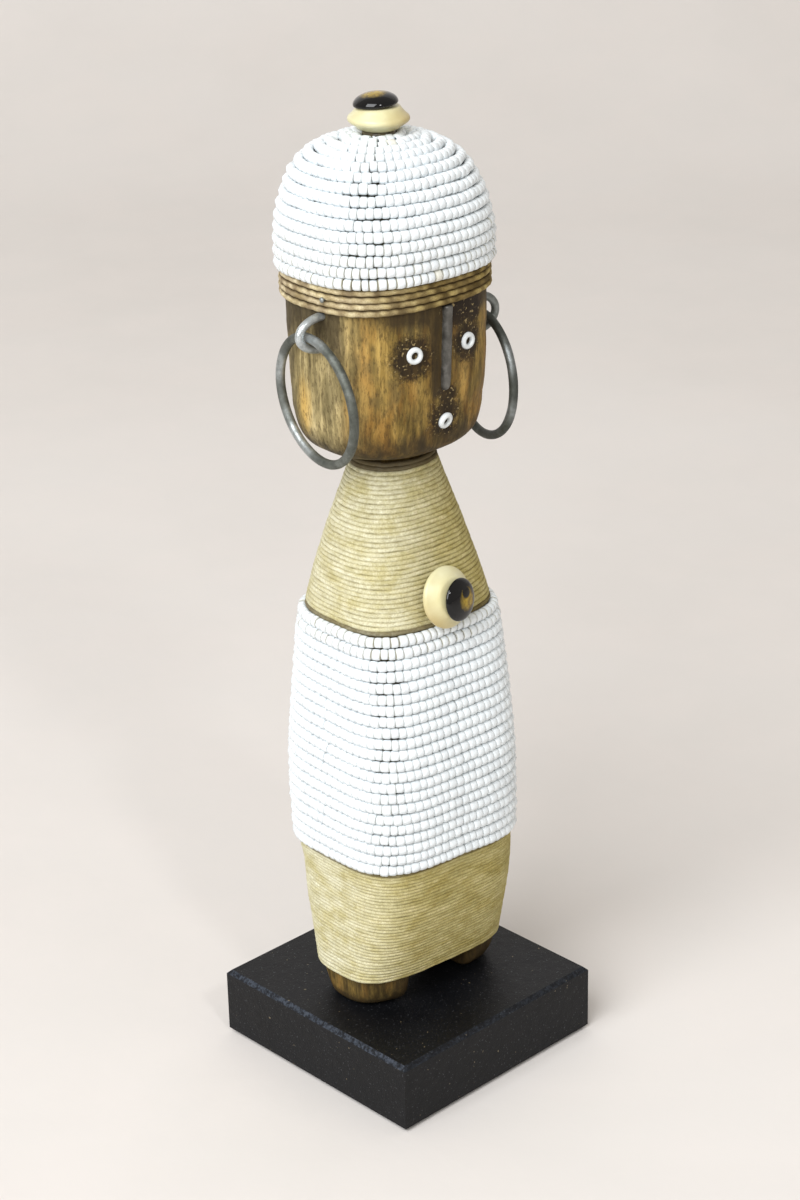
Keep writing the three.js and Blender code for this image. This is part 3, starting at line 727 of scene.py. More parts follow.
def twine_material(name, fresh, aged, twist_length, twist_shade_and_depth, groove_shade, blotches):
    """Twine whose colour wanders, darker on its aged side, with painted shade along its twist, between its
    rows and where shade falls.
    """
    n = Nodes(name)
    twist = n.math("SINE", n.times(n.attribute("run"), 2 * math.pi / twist_length))
    fibre = n.noise(2600, 3, 0.7)
    value = n.plus(n.times(n.noise((150, 150, 500), 3, 0.6), 0.4), n.attribute("tint"), 0.6)
    fresh, aged = (n.ramp(value, list(zip(TWINE_STOPS, colours))) for colours in (fresh, aged))
    colour = n.mix(n.attribute("aged"), fresh, aged)
    # Painted shade along the twist of the ply.
    colour = n.coat(colour, (0.40, 0.31, 0.17), n.plus(0.5, twist, -0.5), twist_shade_and_depth, "MULTIPLY")
    patches = n.mask(n.noise((110, 110, 190), 5, 0.7), 0.42, 0.64)
    colour = n.coat(colour, (0.72, 0.66, 0.42), patches, blotches, "MULTIPLY")
    # Painted shade in the grooves between windings.
    groove = n.times(n.speckle(n.attribute("groove"), 1500, 0.9), n.plus(1.0, patches, -0.7))
    colour = n.mix(n.times(groove, groove_shade, clamp=True), colour, (0.40, 0.31, 0.16), "MULTIPLY")
    colour = n.coat(colour, (0.55, 0.47, 0.32), n.mask(fibre, 0.58, 0.38), 0.5, "MULTIPLY")
    pale_hairs = n.mask(n.noise((1300, 1300, 4200), 3, 0.7), 0.54, 0.68)
    colour = n.coat(colour, (1.26, 1.26, 1.26), pale_hairs, 0.6, "MULTIPLY")
    # Painted shade from the listed places on the twine.
    twine_shade = n.mask(n.speckle(n.attribute("twine_shade"), 900, 0.4), 0.2, 0.8)
    colour = n.coat(colour, (0.060, 0.038, 0.016), twine_shade, 0.86)
    return n.finish(colour, 0.85, n.bump((twist, twist_shade_and_depth, 0.0002), (fibre, 0.5, 0.00012)), specular=0.15)


def bead_material():
    """White glass beads with faint grey painted shade at their ends and a rare yellowed bead."""
    n = Nodes("white_beads")
    ends = n.mask(n.attribute("end"), 0.70, 0.96)
    colour = n.ramp(n.attribute("tint"), BEAD_TINTS)
    # Painted shade: grey at the bead ends, as much as each bead's shade value.
    colour = n.coat(colour, (0.36, 0.34, 0.25), ends, n.attribute("dirt"))
    normal = n.bump((n.noise(1100, 2, 0.5), 0.15, 0.0002))
    return n.finish(colour, n.plus(0.2, n.noise(900, 2, 0.5), 0.16), normal, specular=0.4)


def thread_material():
    """Off-white thread, with painted shade where the rows part at the corners."""
    n = Nodes("bead_thread")
    dark = n.mask(n.speckle(n.attribute("dark"), 900, 0.3), 0.1, 0.7)
    colour = n.mix(dark, (0.62, 0.62, 0.58), (0.055, 0.050, 0.030))
    return n.finish(colour, 0.9, n.bump((n.noise(1500, 3, 0.6), 0.3, 0.0002)), specular=0.2)


def cream_material():
    """Old cream plastic or bone, yellower in patches."""
    n = Nodes("cream_button")
    colour = n.mix(n.mask(n.noise(170, 3, 0.5), 0.35, 0.7), (0.61, 0.56, 0.31), (0.69, 0.66, 0.42))
    tan_patch = n.mask(n.speckle(n.attribute("tan_patch"), 500, 0.3), 0.15, 1.0)
    colour = n.coat(colour, (0.46, 0.34, 0.13), tan_patch, 0.75)
    normal = n.bump((n.noise(700, 3, 0.6), 0.08, 0.0003))
    return n.finish(colour, n.plus(0.24, n.noise(900, 3, 0.6), 0.15), normal, specular=0.4)


def dome_material(name, amber_at, reach, pupil_at):
    """Black glass with an amber patch on one side of the dome and a dark spot in the patch."""
    n = Nodes(name)
    seen = n.plus(n.near(amber_at, reach), n.near(pupil_at, PUPIL_REACH), -1.3)
    gold = n.ramp(n.noise(900, 4, 0.6), [(0.35, (0.17, 0.105, 0.006)), (0.65, (0.42, 0.285, 0.02))])
    colour = n.mix(n.mask(n.speckle(seen, 500, 0.3), 0.20, 0.58), (0.0025, 0.0025, 0.003), gold)
    return n.finish(colour, 0.03, n.bump((n.noise(260, 2, 0.5), 0.03, 0.0003)), specular=0.4)


def steel_material():
    """Old grey-green wire with brighter patches, partly wear and partly painted highlight."""
    n = Nodes("grey_steel_wire")
    cloud = n.noise(260, 5, 0.65)
    patchy = n.ramp(n.noise(420, 4, 0.6), [(0.3, 0.3), (0.65, 1.0)])
    bright = n.times(n.attribute("wear_and_highlight"), patchy)
    colour = n.coat(n.ramp(cloud, STEEL_GREYS), (0.56, 0.60, 0.61), bright, 0.8)
    colour = n.coat(colour, (0.022, 0.024, 0.020), n.attribute("dark"), 0.6)
    rough = n.plus(n.plus(0.45, cloud, 0.3), bright, -0.25)
    normal = n.bump((n.noise(1600, 3, 0.6), 0.35, 0.0002), (cloud, 0.3, 0.0006))
    return n.finish(colour, rough, normal, metallic=0.7)


def iron_material():
    """Smooth grey iron with painted highlight along its middle and at its tip."""
    n = Nodes("dark_iron")
    colour = n.coat(n.ramp(n.noise(420, 4, 0.6), IRON_GREYS), (0.22, 0.21, 0.19), n.attribute("wear_and_highlight"), 0.4)
    return n.finish(colour, 0.42, n.bump((n.noise(900, 4, 0.7), 0.35, 0.0004)), metallic=0.45)


def glue_and_shade_material():
    """Dried brown glue, dark enough to stand also as painted shade in the gap under a button."""
    n = Nodes("dark_glue_and_shade")
    colour = n.ramp(n.noise(600, 3, 0.6), [(0.35, (0.035, 0.028, 0.016)), (0.7, (0.16, 0.13, 0.07))])
    return n.finish(colour, 0.35, n.bump((n.noise(800, 3, 0.6), 0.4, 0.0004)))


def floor_material():
    """Pale plaster in soft clouds, lighter on the wall than on the floor."""
    n = Nodes("pale_floor")
    colour = n.mix(n.mask(n.noise(2.6, 5, 0.6), 0.3, 0.75), (0.665, 0.632, 0.600), (0.715, 0.688, 0.660))
    colour = n.coat(colour, (0.735, 0.685, 0.650), n.mask(n.noise(19, 4, 0.6), 0.42, 0.62), 0.22)
    colour = n.coat(colour, (0.92, 0.91, 0.905), n.mask(n.split(n.place)[2], 0.05, 0.6))
    return n.finish(colour, 0.85, n.bump((n.noise(45, 4, 0.6), 0.1, 0.002)), specular=0.2)


# Beads


def cornering(surface, z, share):
    """1 where a section turns its corners, 0 on its flats."""
    return ramp_up(np.abs(np.sin(2 * surface.angle(z, share))), 0.72, 0.98)


def bead_spans(dice, number):
    """Shares of the way round where each bead of a row begins and ends, of uneven lengths."""
    edges = np.cumsum([0] + [dice.uniform(0.86, 1.14) for _ in range(number)])
    edges = edges / edges[-1] + dice.random()
    return zip(edges, edges[1:])


def string_beads(surface, rows, seed, corner_shade, hang_rates):
    """Rows of beads, as one mesh. A row has its height, lean, bead size, bead length and painted shade
    between its beads.
    """
    dice = random.Random(seed)
    beads, tints, bead_shades = [], [], []
    for row, (z, lean, size, length, row_shade) in enumerate(rows):
        girth = surface.girth(z) - math.pi * size
        for low, high in bead_spans(dice, max(round(girth / length), 3)):
            share = 0.5 * (low + high)
            corner = cornering(surface, z, share)
            dirt = row_shade + corner_shade * corner
            sway = ring_noise([2 * math.pi * share], 3, row * 0.7 + seed)[0]
            level = z + 0.18 * sway + dice.uniform(-0.05, 0.05) * (1 + 2 * corner)
            offset = -0.5 * size + dice.uniform(-0.08, 0.08)
            place, out, tangent = surface.point(level, share, offset)
            place[2] -= hang(place, hang_rates, TUNIC_BOTTOM_Z, TUNIC_HANG_FADE)
            across = size * dice.uniform(0.97, 1.03) * (1.02 - 0.13 * corner * dice.random())
            reach = (high - low) * girth * (1.03 - 0.07 * corner * dice.random())
            loose = max(corner, min(dirt, 1.0))
            swing = dice.uniform(-0.06, 0.06)
            beads.append(one_bead(place, out, tangent, lean, swing, across, reach, loose))
            tints.append(0.0 if dice.random() < YELLOWED_SHARE else dice.uniform(0.2, 1.0))
            bead_shades.append(dirt * dice.uniform(0.5, 1.3))
    return np.concatenate(beads), *bead_faces_and_layers(tints, bead_shades)


def one_bead(place, out, tangent, lean, swing, across, length, loose):
    """Points of one bead on its thread, rounder where the beads sit loosely."""
    out = out * math.cos(lean) + np.array([0.0, 0.0, math.sin(lean)])
    up = np.cross(tangent, out)
    up = -up if up[2] < 0 else up
    axis = tangent * math.cos(swing) + up * math.sin(swing)
    radii = 0.5 * across * (BEAD_LOOSE * loose + BEAD_SNUG * (1 - loose))
    centres = place + axis * (BEAD_STATIONS * length)[:, None]
    return ring_points(centres, out, np.cross(axis, out), radii[:, None, None], BEAD_SIDES)


def bead_faces_and_layers(tints, bead_shades):
    """Faces of a mesh of beads, and what its material reads at each point."""
    per_bead = len(BEAD_STATIONS) * BEAD_SIDES
    one = grid_faces(len(BEAD_STATIONS), BEAD_SIDES)
    faces = np.concatenate([one + k * per_bead for k in range(len(tints))])
    ends = np.repeat(np.abs(BEAD_STATIONS) * 2, BEAD_SIDES)
    layers = {"tint": np.repeat(tints, per_bead), "dirt": np.repeat(bead_shades, per_bead)}
    return faces, {**layers, "end": np.tile(ends, len(tints))}


def backing(surface, low, high, hang_rates):
    """Skin of thread close behind the beads, with painted shade where the rows part at the corners."""
    share = np.arange(THREAD_SIDES) / THREAD_SIDES
    rings, dark = [], []
    for z in np.linspace(low, high, THREAD_RINGS):
        level = np.full(THREAD_SIDES, z)
        ring = surface.point(level, share)[0]
        centre = ring.mean(axis=0)
        inward = 1 - THREAD_DEPTH / max(np.abs(ring - centre)[:, 0].max(), THREAD_DEPTH)
        ring = centre + (ring - centre) * inward
        ring[:, 2] -= hang(ring, hang_rates, TUNIC_BOTTOM_Z, TUNIC_HANG_FADE)
        rings.append(ring)
        dark.append(cornering(surface, level, share))
    return np.concatenate(rings), grid_faces(THREAD_RINGS, THREAD_SIDES), {"dark": np.concatenate(dark)}


def tunic_rows():
    """Rows of the tunic from its lower edge up."""
    pitch = (TUNIC_TOP_Z - TUNIC_BOTTOM_Z) / TUNIC_ROWS
    bead_shades = [TUNIC_BEAD_SHADE] * (TUNIC_ROWS - 2) + [TUNIC_TOP_BEAD_SHADE] * 2
    return [
        (TUNIC_BOTTOM_Z + pitch * (k + 0.5), 0.0, BEAD_DIAMETER, BEAD_LENGTH, dirt)
        for k, dirt in enumerate(bead_shades)
    ]


def cap_rows():
    """Rows spaced evenly along the slope of the cap, each with the lean of the surface there."""
    zs = np.linspace(CAP_BOTTOM_Z, CAP_TOP_Z, 400)
    rs = 0.5 * (along(CAP, 1, zs) + along(CAP, 2, zs))
    run = travelled(np.stack([zs, rs], 1))
    pitch = run[-1] / CAP_ROWS
    rows = []
    for k, dirt in enumerate(CAP_BEAD_SHADE):
        at = pitch * (k + 0.5)
        dz, dr = (np.interp(at + 1, run, v) - np.interp(at - 1, run, v) for v in (zs, rs))
        size = 1.05 * pitch * (1.04 if k == 0 else 1.0)
        rows.append((np.interp(at, run, zs), math.atan2(-dr, dz), size, CAP_BEAD_LENGTH, dirt))
    return rows


def tunic(beads, thread):
    """White beads strung in rows round the body."""
    surface = Section(grown(BODY, TUNIC_OUT), TUNIC_BOTTOM_Z - 3, TUNIC_TOP_Z + 3)
    points, faces, layers = string_beads(surface, tunic_rows(), 3, 0.3, TUNIC_HANG)
    make_piece("bead_tunic_beads", points, faces, beads, "bead_tunic", layers)
    points, faces, layers = backing(surface, TUNIC_BOTTOM_Z + 1, TUNIC_TOP_Z - 1, TUNIC_HANG)
    make_piece("bead_tunic_thread", points, faces, thread, "bead_tunic", layers)


def cap(beads, thread):
    """White beads strung in rows over the head, the lowest a little larger and with more painted shade
    between.
    """
    surface = Section(CAP, CAP_BOTTOM_Z, CAP_TOP_Z - 0.02)
    points, faces, layers = string_beads(surface, cap_rows(), 5, 0.2, NO_HANG)
    make_piece("bead_cap_beads", points, faces, beads, "bead_cap", layers)
    points, faces, layers = backing(surface, CAP_BOTTOM_Z + 1, CAP_TOP_Z - 3.5, NO_HANG)
    lower = 1 - THREAD_DEPTH / (CAP_TOP_Z - CAP_BOTTOM_Z)
    points[:, 2] = CAP_BOTTOM_Z + (points[:, 2] - CAP_BOTTOM_Z) * lower
    make_piece("bead_cap_thread", points, faces, thread, "bead_cap", layers)


# Twine


def strand_layers(run, tint, place, sides, aged_range):
    """Values that the twine's material reads, for each point of a tube whose rings start outward."""
    groove = np.abs(np.sin(2 * math.pi * np.arange(sides) / sides)) ** 3
    return {
        "run": np.repeat(run, sides),
        "groove": np.tile(groove, len(run)),
        "tint": np.repeat(np.clip(tint, 0, 1), sides),
        "aged": np.repeat(ramp_up(toward_front_right(place), *aged_range), sides),
    }


def wound(surface, low, high, pitch, thick, seed, hangs, aged_range):
    """One long strand wound round a surface, row above row. It climbs to the next row at the back."""
    turns = int((high - low - thick) / pitch)
    girth = surface.girth(0.5 * (low + high))
    t = np.linspace(CLIMB, turns + 1, int((turns + 1) * girth / STRAND_STEP))
    share = BACK_SHARE + t
    row = np.floor(t).astype(int)
    z = low + 0.5 * thick + pitch * (row + ramp_up(t - row, 0, CLIMB) - 1)
    z = z + pitch * (0.16 * wander(share, z, 1.0, seed) + 0.17 * wander(share, z * 9, 4.0, seed + 1))
    z = np.clip(z, low + 0.4 * thick, high)
    offset = -0.5 * thick + 0.09 * wander(share, z * 7, 2.2, seed + 2)
    place, out, _ = surface.point(z, share, offset)
    place[:, 2] -= sum(hang(place, rates, edge, WRAP_HANG_FADE) for rates, edge in zip(hangs, (low, high)))
    radius = 0.5 * thick * (1 + 0.12 * wander(share * 3, z * 11, 3.0, seed + 3))
    points, faces = tube(place, out, radius, STRAND_SIDES)
    row_tint = np.array([noise.noise((0.71 * k, seed, 4.0)) for k in range(turns + 3)])[row]
    tint = 0.5 + 0.16 * row_tint + 0.25 * wander(share * 2, z * 13, 4.0, seed + 4)
    return points, faces, strand_layers(travelled(place), tint, place, STRAND_SIDES, aged_range), z


def one_rope(surface, level, seed, row):
    """Points of one row of twisted rope, and what its material reads."""
    girth = surface.girth(level)
    count = int(girth / ROPE_STEP)
    share = np.arange(count) / count
    run = share * girth
    z = level + 0.16 * wander(share, np.full(count, level), 1.8, seed + row)
    offset = -0.5 * ROPE_THICK + 0.16 * wander(share, z * 5, 2.4, seed + 1)
    place, out, tangent = surface.point(z, share, offset)
    around = 2 * math.pi * np.arange(ROPE_SIDES) / ROPE_SIDES
    slip = 0.9 * wander(share, z * 3, 4.0, seed + 5)
    strands = np.cos(2 * around + (2 * math.pi * run / ROPE_TWIST + slip)[:, None])
    radius = 0.5 * ROPE_THICK * (1.0 + 0.04 * strands)
    points = ring_points(place, out, np.cross(out, tangent), radius[:, :, None], ROPE_SIDES)
    tint = 0.5 + 0.7 * wander(share * 2, z * 9, 4.0, seed + 2)
    layers = strand_layers(run, tint, place, ROPE_SIDES, (-20, 14))
    # Painted shade between the rows of rope and in the valleys of the twist.
    between = np.abs(np.sin(around)) ** 4
    layers["twine_shade"] = np.clip(0.95 * between + 0.14 * (1 - strands), 0, 1).ravel()
    return points, closed_faces(count, ROPE_SIDES), layers


def wraps(material):
    """Fine twine wound round the legs and round the chest, with painted shade where it meets the beads,
    under the chin and at its lowest windings.
    """
    body = Section(BODY, WRAP_BOTTOM_Z - 2, WRAP_TOP_Z + 0.5)
    for where, wrap in WRAPS.items():
        points, faces, layers, z = wound(body, **wrap["winding"])
        twine_shade = sum(share * ramp_up(z, start, end) for share, start, end in wrap["twine_shade"])
        layers["twine_shade"] = np.repeat(twine_shade, STRAND_SIDES)
        name, node = f"{where}_twine_windings", f"{where}_twine_wrap"
        make_piece(name, points, faces, material, node, layers)


def head_band(material):
    """Four rows of brown rope between the cap and the face."""
    surface = Section(grown(HEAD, BAND_OUT), BAND_BOTTOM_Z - 2, BAND_TOP_Z + 0.4)
    pitch = (BAND_TOP_Z + 0.3 - BAND_BOTTOM_Z) / BAND_TURNS
    parts, faces, layers, start = [], [], [], 0
    for row in range(BAND_TURNS):
        points, part_faces, layer = one_rope(surface, BAND_BOTTOM_Z + pitch * (row + 0.5), 4, row)
        parts.append(points)
        faces.append(part_faces + start)
        layers.append(layer)
        start += len(points)
    merged = {key: np.concatenate([layer[key] for layer in layers]) for key in layers[0]}
    points, faces = np.concatenate(parts), np.concatenate(faces)
    make_piece("head_twine_ropes", points, faces, material, "head_twine_band", merged)


# Wood


def wooden_figure(material):
    """Feet, hidden core, neck, head and hidden dome as one smooth skin with carving marks."""
    share = np.arange(HEAD_SIDES) / HEAD_SIDES
    flat = np.ones(HEAD_SIDES)
    body = Section(grown(BODY, CORE_OUT), 31, 185)
    head = Section(HEAD, CHIN_Z, 236)
    crown = Section(grown(CAP[:-1], CROWN_OUT), 236, 267.7)
    rings = [body.point(flat * z, share)[0] for z in np.linspace(33, 185.2, 50)]
    for z in np.concatenate([CHIN_Z + 7 * np.linspace(0, 1, 15) ** 1.4, np.linspace(193.5, 236, 44)]):
        ring, out, _ = head.point(flat * z, share)
        chisel = 0.18 * wander(share, flat * z, 2.0, 9) + 0.08 * wander(share, flat * z * 3, 5.0, 10)
        rings.append(ring + out * chisel[:, None])
    rings += [crown.point(flat * z, share)[0] for z in np.linspace(237.5, 266.0, 12)]
    points = np.concatenate(rings)
    faces = capped_faces(len(rings), HEAD_SIDES)
    for sign, inner, wider, square in FEET:
        foot, foot_faces = one_foot(sign, inner, wider, square)
        faces += [[v + len(points) for v in f] for f in foot_faces]
        points = np.concatenate([points, foot])
    make_piece("wooden_figure", points, faces, material, "carved_figure", wood_layers(points))


def wood_layers(points):
    """Where the wood gets painted highlight, where it gets painted shade, and how aged it is, for each
    point.
    """
    x, _, z = points.T
    across = toward_front_right(points)
    # The light bands are painted highlight.
    light = sum(
        strength * bump_at(across, place, width) * bump_at(z, height, reach)
        for strength, place, width, height, reach in HIGHLIGHT_BANDS
    )
    # Painted shade: under the head band, in an upright strip on the left of the face, down the far left
    # side, beside the nose, under the chin, over the right of the face at eye level and at the soles.
    wood_shade = (
        0.85 * ramp_up(across, -11, -15) * ramp_up(z, 212, 226)
        + 0.6 * bump_at(across, -12.5, 2.2) * ramp_up(z, 200, 222)
        + 0.35 * ramp_up(across, -24, -28)
        + 0.9 * ramp_up(across, -8, 2) * ramp_up(z, 221, 227)
        + 1.4 * bump_at(across, 12.3, 1.5) * ramp_up(z, 200, 207)
        + 0.75 * ramp_up(z, 199, 189) * ramp_up(z, 180, 184)
        + 0.35 * ramp_up(across, 10, 16) * bump_at(z, 216, 9)
        + 0.6 * ramp_up(z, 25, 22)
    )
    foot = z < 40
    # Painted shade on the feet, deepest on the far foot.
    foot_shade = np.where(x > 0, 1.2, 0.5 + 0.35 * ramp_up(x, -19, -12))
    return {
        "light": np.where(foot, 0.0, light),
        "wood_shade": wood_shade + np.where(foot, foot_shade, 0.0),
        "aged": np.where(foot, 1.0, ramp_up(across, -16, -4)),
    }


def one_foot(sign, inner, wider, square):
    """One foot: the sole's outline kept to one side of the arch, rounded, from the block into the twine."""
    rings = []
    sole_levels = np.linspace(SOLE_Z, SOLE_Z + SOLE_RIM, 6)
    for z in np.concatenate([sole_levels, np.linspace(SOLE_Z + 2.2, FOOT_TOP_Z, 14)]):
        rise = min((z - SOLE_Z) / (WRAP_BOTTOM_Z - SOLE_Z), 1)
        grow = math.sqrt(1 - (1 - rise) ** 2)
        rim = 0.8 * max(0.0, 1 - (z - SOLE_Z) / SOLE_RIM) ** 2
        half = SOLE_HALF + FOOT_GROWTH * grow + wider * (1 - grow) - rim
        arch = inner + rim - 1.2 * ramp_up(z, 28, 33)
        cx, cy = middle(z)
        plan = foot_plan(half, square + (3.3 - square) * grow, arch - sign * cx, z + 40 * sign)
        rings.append(np.stack([cx + sign * plan[:, 0], cy + plan[:, 1], np.full(FOOT_SIDES, z)], 1))
    faces = capped_faces(len(rings), FOOT_SIDES)
    if sign < 0:
        faces = [f[::-1] for f in faces]
    return np.concatenate(rings), faces


def foot_plan(half, n, arch, seed):
    """Outline of one foot in plan, found by halving along rays from a point inside it."""
    centre = np.array([0.5 * (arch + half[0]), 0.0])
    around = 2 * math.pi * np.arange(FOOT_SIDES) / FOOT_SIDES
    rays = np.stack([np.cos(around), np.sin(around)], 1)
    near_end, far_end = np.zeros(FOOT_SIDES), np.full(FOOT_SIDES, 40.0)
    for _ in range(26):
        reach = 0.5 * (near_end + far_end)
        p = centre + rays * reach[:, None]
        outside = ((np.abs(p / half) ** n).sum(1) ** (1 / n) - 1) * 0.5 * half.sum()
        inside = np.logaddexp(FOOT_ROUNDING * outside, FOOT_ROUNDING * (arch - p[:, 0])) < 0
        near_end = np.where(inside, reach, near_end)
        far_end = np.where(inside, far_end, reach)
    knock = np.array([0.18 * noise.noise((0.3 * a, 0.3 * b, 0.25 * seed)) for a, b in p])
    return centre + rays * (reach + knock)[:, None]


# Buttons


def disc_outline(radius):
    """Two cones with a soft rim between them."""
    outline = [(0, -DISC_BELOW_RIM), (DISC_SEAT - 0.6, -DISC_BELOW_RIM), (DISC_SEAT, 0.25 - DISC_BELOW_RIM)]
    for k in range(9):
        a = math.radians(-60 + 116 * k / 8)
        outline.append((radius - DISC_RIM + DISC_RIM * math.cos(a), DISC_RIM * 0.7 * math.sin(a)))
    seat = ((DOME_RADIUS + 0.15, 0.75), (DOME_RADIUS - 0.2, 0.2), (DOME_RADIUS - 0.8, 0), (0, 0))
    return outline + [(r, DISC_ABOVE_RIM - down) for r, down in seat]


def dome_outline(height):
    """Low dome with a small straight foot."""
    outline = [(0, 0), (DOME_RADIUS - 0.5, 0), (DOME_RADIUS - 0.1, 0.2)]
    for k in range(14):
        a = 0.5 * math.pi * k / 14
        outline.append((DOME_RADIUS * math.cos(a), DOME_FOOT + (height - DOME_FOOT) * math.sin(a)))
    return outline + [(0, height)]


def buttons(cream, glue):
    """Two old button eyes glued on: a cream disc under a black glass dome."""
    for where, b in BUTTONS.items():
        cream_disc(where, b, cream)
        points, faces = lathe(dome_outline(b["height"]), 72)
        points = placed(points, b["foot"], b["dome_axis"])
        glass = dome_material(f"{where}_black_glass", b["amber"], b["reach"], b["pupil"])
        make_piece(f"{where}_button_glass", points, faces, glass, f"{where}_button_dome")
        glue_and_shade_blob(where, b, glue)


def cream_disc(where, button, material):
    """Cream disc, flat where the dome sits on it and tan on one side and round its rim."""
    points, faces = lathe(disc_outline(button["radius"]), 72)
    points = placed(points, button["middle"], button["axis"])
    up = unit(np.array(button["dome_axis"]))
    above_seat = np.maximum(0, (points - np.array(button["foot"])) @ up + 0.05)
    points = points - above_seat[:, None] * up
    from_tan_patch, from_middle = (
        np.linalg.norm(points - np.array(button[key]), axis=1) for key in ("tan_patch", "middle")
    )
    tan_patch = np.clip(1.25 - from_tan_patch / 8 + 0.22 * bump_at(from_middle, button["radius"], 1.2), 0, 1)
    node = f"{where}_button_disc"
    make_piece(f"{where}_button_cream", points, faces, material, node, {"tan_patch": tan_patch})


def glue_and_shade_blob(where, button, glue):
    """Dried glue that fills the space between a button's back and what it sits on, dark as painted shade in
    that gap.
    """
    points, faces = lathe(GLUE_OUTLINE, 36)
    wobble = [1 + 0.14 * noise.noise((0.5 * p[0], 0.5 * p[1], 2.0)) for p in points]
    points[:, :2] *= np.array(wobble)[:, None]
    points = placed(points, button["middle"], button["axis"])
    make_piece(f"{where}_button_glue", points, faces, glue, None)


# Face


def head_side(axis, other, z, out=0.0):
    """Near side of the head along X or Y, as 0 or 1, at a place on the other axis and a height."""
    middles = middle(z, along(HEAD, 4, z))
    halves = [along(HEAD, k, z) + out for k in (1, 2)]
    n = along(HEAD, 3, z)
    across = abs(other - middles[1 - axis]) / halves[1 - axis]
    return middles[axis] - halves[axis] * (1 - across**n) ** (1 / n)


def face_normal(x, z):
    """Outward direction of the face at a sideways place and a height."""
    step = 0.5
    dx = (head_side(1, x + step, z) - head_side(1, x - step, z)) / (2 * step)
    dz = (head_side(1, x, z + step) - head_side(1, x, z - step)) / (2 * step)
    return Vector((dx, -1, dz)).normalized()


def face_beads(material):
    """Three ring-shaped beads let into the face, each at a slant of its own."""
    for name, x, z, slant in FACE_BEADS:
        points, faces = lathe(FACE_BEAD_OUTLINE, 40)
        points = placed(points, (x, head_side(1, x, z), z), face_normal(x, z) + Vector(slant))
        layers = {key: np.full(len(points), value) for key, value in FACE_BEAD_LOOKS.items()}
        make_piece(f"{name}_glass", points, faces, material, name, layers)


def nose(material):
    """Strip of iron let into the face, rounded, with a drawn tip and hammer marks."""
    across, rows = 14, 60
    points, wear_and_highlight = [], []
    for z in np.linspace(NOSE_TIP_Z, NOSE_TOP_Z, rows):
        drawn = 0.45 + 0.55 * math.sqrt(1 - (1 - min((z - NOSE_TIP_Z) / 3.0, 1.0)) ** 2)
        half = NOSE_HALF * drawn * (1 + 0.06 * noise.noise((0, 0, 0.5 * z)))
        rise = NOSE_RISE * drawn + 0.12 * noise.noise((3, 0, 0.6 * z)) + NOSE_SINK
        foot = head_side(1, NOSE_X, z) + NOSE_SINK
        for k in range(across):
            a = math.pi * k / (across - 1)
            points.append((NOSE_X - half * math.cos(a), foot - rise * math.sin(a) ** 0.55, z))
            # Painted highlight along the crown of the strip and at its tip.
            wear_and_highlight.append(0.75 * math.sin(a) ** 3 + 0.5 * bump_at(z, NOSE_TIP_Z + 2, 2))
    faces = capped_faces(rows, across, wrap=False)
    layers = {"wear_and_highlight": np.clip(wear_and_highlight, 0, 1)}
    make_piece("iron_nose_strip", np.array(points), faces, material, "iron_nose", layers)


def pin(material):
    """Small metal pin through the twine band, on its left."""
    points, faces = lathe(PIN_OUTLINE, 24)
    points = placed(points, (head_side(0, PIN_Y, PIN_Z, BAND_OUT) - 0.3, PIN_Y, PIN_Z), (-1, 0, 0))
    layers = {"wear_and_highlight": np.full(len(points), 0.9)}
    make_piece("band_pin_head", points, faces, material, "band_pin", layers)


# Earrings


def staples(material):
    """Wire staples driven into the sides of the head."""
    for side, s in STAPLES.items():
        span, sign = s["half_span"], s["sign"]
        bend = [math.pi * (k / 32 - 0.5) for k in range(33)]
        path = [(-4.0, -span), (-2.0, -span)]
        path += [(STAPLE_REACH * math.cos(a), span * math.sin(a)) for a in bend]
        path += [(-2.0, span), (-4.0, span)]
        place = np.array([(sign * u, 0.0, v) for u, v in path]) + np.array(s["root"])
        outward = np.tile([0.0, -sign, 0.0], (len(place), 1))
        points, faces = tube(place, outward, STAPLE_WIRE, WIRE_SIDES)
        # Bright patch round the bend: partly wear and partly painted highlight.
        wear_and_highlight = s["wear_and_highlight"] * (0.5 + 0.6 * bump_at(np.arange(len(place)), 20, 9)).clip(0, 1)
        layers = {"wear_and_highlight": np.repeat(wear_and_highlight, WIRE_SIDES)}
        node = f"{side}_earring_staple"
        make_piece(f"{side}_staple_wire", points, faces, material, node, layers)


def hoops(material):
    """Wire rings that hang in the staples, not quite round."""
    a = 2 * math.pi * np.arange(HOOP_RINGS) / HOOP_RINGS
    for side, r in HOOPS.items():
        bend = 0.15 * ring_noise(a, 1.4, len(side))
        radius = HOOP_RADIUS + bend
        flat = np.stack([radius * np.cos(a), 0.3 * bend, radius * np.sin(a)], 1)
        splay = np.array(Matrix.Rotation(math.radians(r["splay"]), 3, "X"))
        turn = np.array(Matrix.Rotation(math.radians(r["heading"]), 3, "Z"))
        outward = flat @ splay.T @ turn.T
        thick = HOOP_WIRE * (1 + 0.04 * ring_noise(a, 3, 5.0))
        points, faces = tube(outward + np.array(r["middle"]), outward, thick, WIRE_SIDES, closed=True)
        # Bright patches: partly wear and partly painted highlight.
        wear_and_highlight = np.clip(sum(ring_patch(a, at, width) for at, width in r["wear_and_highlight"]), 0.04, 1)
        layers = {"wear_and_highlight": np.repeat(wear_and_highlight, WIRE_SIDES), "dark": np.full(len(points), r["dark"])}
        node = f"{side}_earring_ring"
        make_piece(f"{side}_hoop_wire", points, faces, material, node, layers)


def ring_patch(angles, at, width):
    """Soft patch on a ring round an angle, both in degrees."""
    off = np.angle(np.exp(1j * (angles - math.radians(at))))
    return bump_at(off, 0, math.radians(width))


# Stage


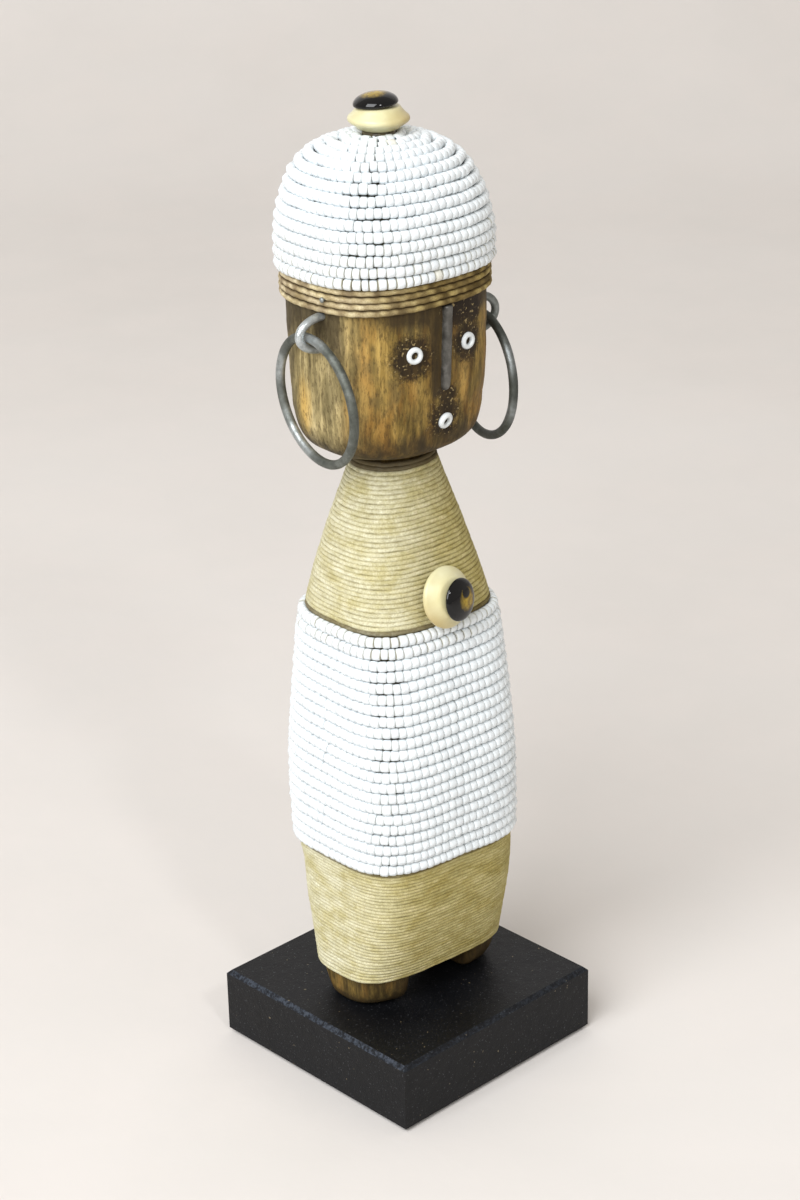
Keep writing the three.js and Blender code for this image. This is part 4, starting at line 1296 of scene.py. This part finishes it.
def floor():
    """Pale plaster floor that curves up into a wall far behind the doll."""
    turn = Matrix.Rotation(CAMERA_HEADING, 3, "Z")
    profile = [(-FLOOR_HALF, 0.0), (FLOOR_BACK, 0.0)]
    for k in range(1, BEND_STEPS + 1):
        a = 0.5 * math.pi * k / BEND_STEPS
        profile.append((FLOOR_BACK + WALL_BEND * math.sin(a), WALL_BEND * (1 - math.cos(a))))
    profile.append((FLOOR_BACK + WALL_BEND, WALL_TOP))
    points = [turn @ Vector((s, u, z)) for u, z in profile for s in (-FLOOR_HALF, FLOOR_HALF)]
    faces = [[2 * i, 2 * i + 1, 2 * i + 3, 2 * i + 2] for i in range(len(profile) - 1)]
    piece = add_mesh("pale_floor", points, faces, floor_material())


def area_light(name, place, size, power, colour):
    """Square lamp aimed at the doll."""
    light = bpy.data.lights.new(name, "AREA")
    light.shape = "SQUARE"
    light.size = size
    light.energy = power
    light.color = colour
    lamp = add_object(name, light)
    lamp.location = place
    lamp.rotation_euler = (Vector(LIGHT_TARGET) - Vector(place)).to_track_quat("-Z", "Y").to_euler()


def lights():
    """Soft light of a room: a large window to the left, a small lamp in front, and pale walls."""
    world = bpy.data.worlds.new("soft_room")
    world.use_nodes = True
    background = world.node_tree.nodes["Background"]
    background.inputs["Color"].default_value = (1.0, 0.94, 0.865, 1)
    background.inputs["Strength"].default_value = 0.49
    bpy.context.scene.world = world
    area_light("window", (-1.62, -0.42, 1.55), 1.6, 57.0, (0.98, 1.0, 1.03))
    area_light("front_lamp", (-0.38, -1.04, 1.03), 0.13, 3.0, (1.0, 1.0, 1.0))
    bpy.context.scene.view_settings.view_transform = "Standard"


def camera():
    """Camera at the photograph's angle: its place, aim and roll."""
    lens = bpy.data.cameras.new("camera")
    lens.lens = 81
    lens.sensor_width = 36
    lens.sensor_fit = "AUTO"
    lens.clip_start = 0.01
    eye = add_object("camera", lens)
    heading = Matrix.Rotation(CAMERA_HEADING, 4, "Z")
    down = Matrix.Rotation(0.5 * math.pi - CAMERA_ELEVATION, 4, "X")
    turn = heading @ down @ Matrix.Rotation(CAMERA_ROLL, 4, "Z")
    back = turn.col[2].xyz
    eye.matrix_world = Matrix.Translation(CAMERA_TARGET + CAMERA_DISTANCE * back) @ turn
    bpy.context.scene.camera = eye


camera()
floor()
lights()

STONE = stone_material()
WOOD = wood_material()
PALE_TWINE, BROWN_TWINE = (twine_material(name, **settings) for name, settings in TWINES.items())
WHITE_BEADS = bead_material()
THREAD = thread_material()
STEEL = steel_material()

block_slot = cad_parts["stone_block"].material_slots[0]
block_slot.link = "OBJECT"
block_slot.material = STONE

wooden_figure(WOOD)
wraps(PALE_TWINE)
tunic(WHITE_BEADS, THREAD)
head_band(BROWN_TWINE)
cap(WHITE_BEADS, THREAD)
buttons(cream_material(), glue_and_shade_material())
face_beads(WHITE_BEADS)
nose(iron_material())
pin(STEEL)
staples(STEEL)
hoops(STEEL)
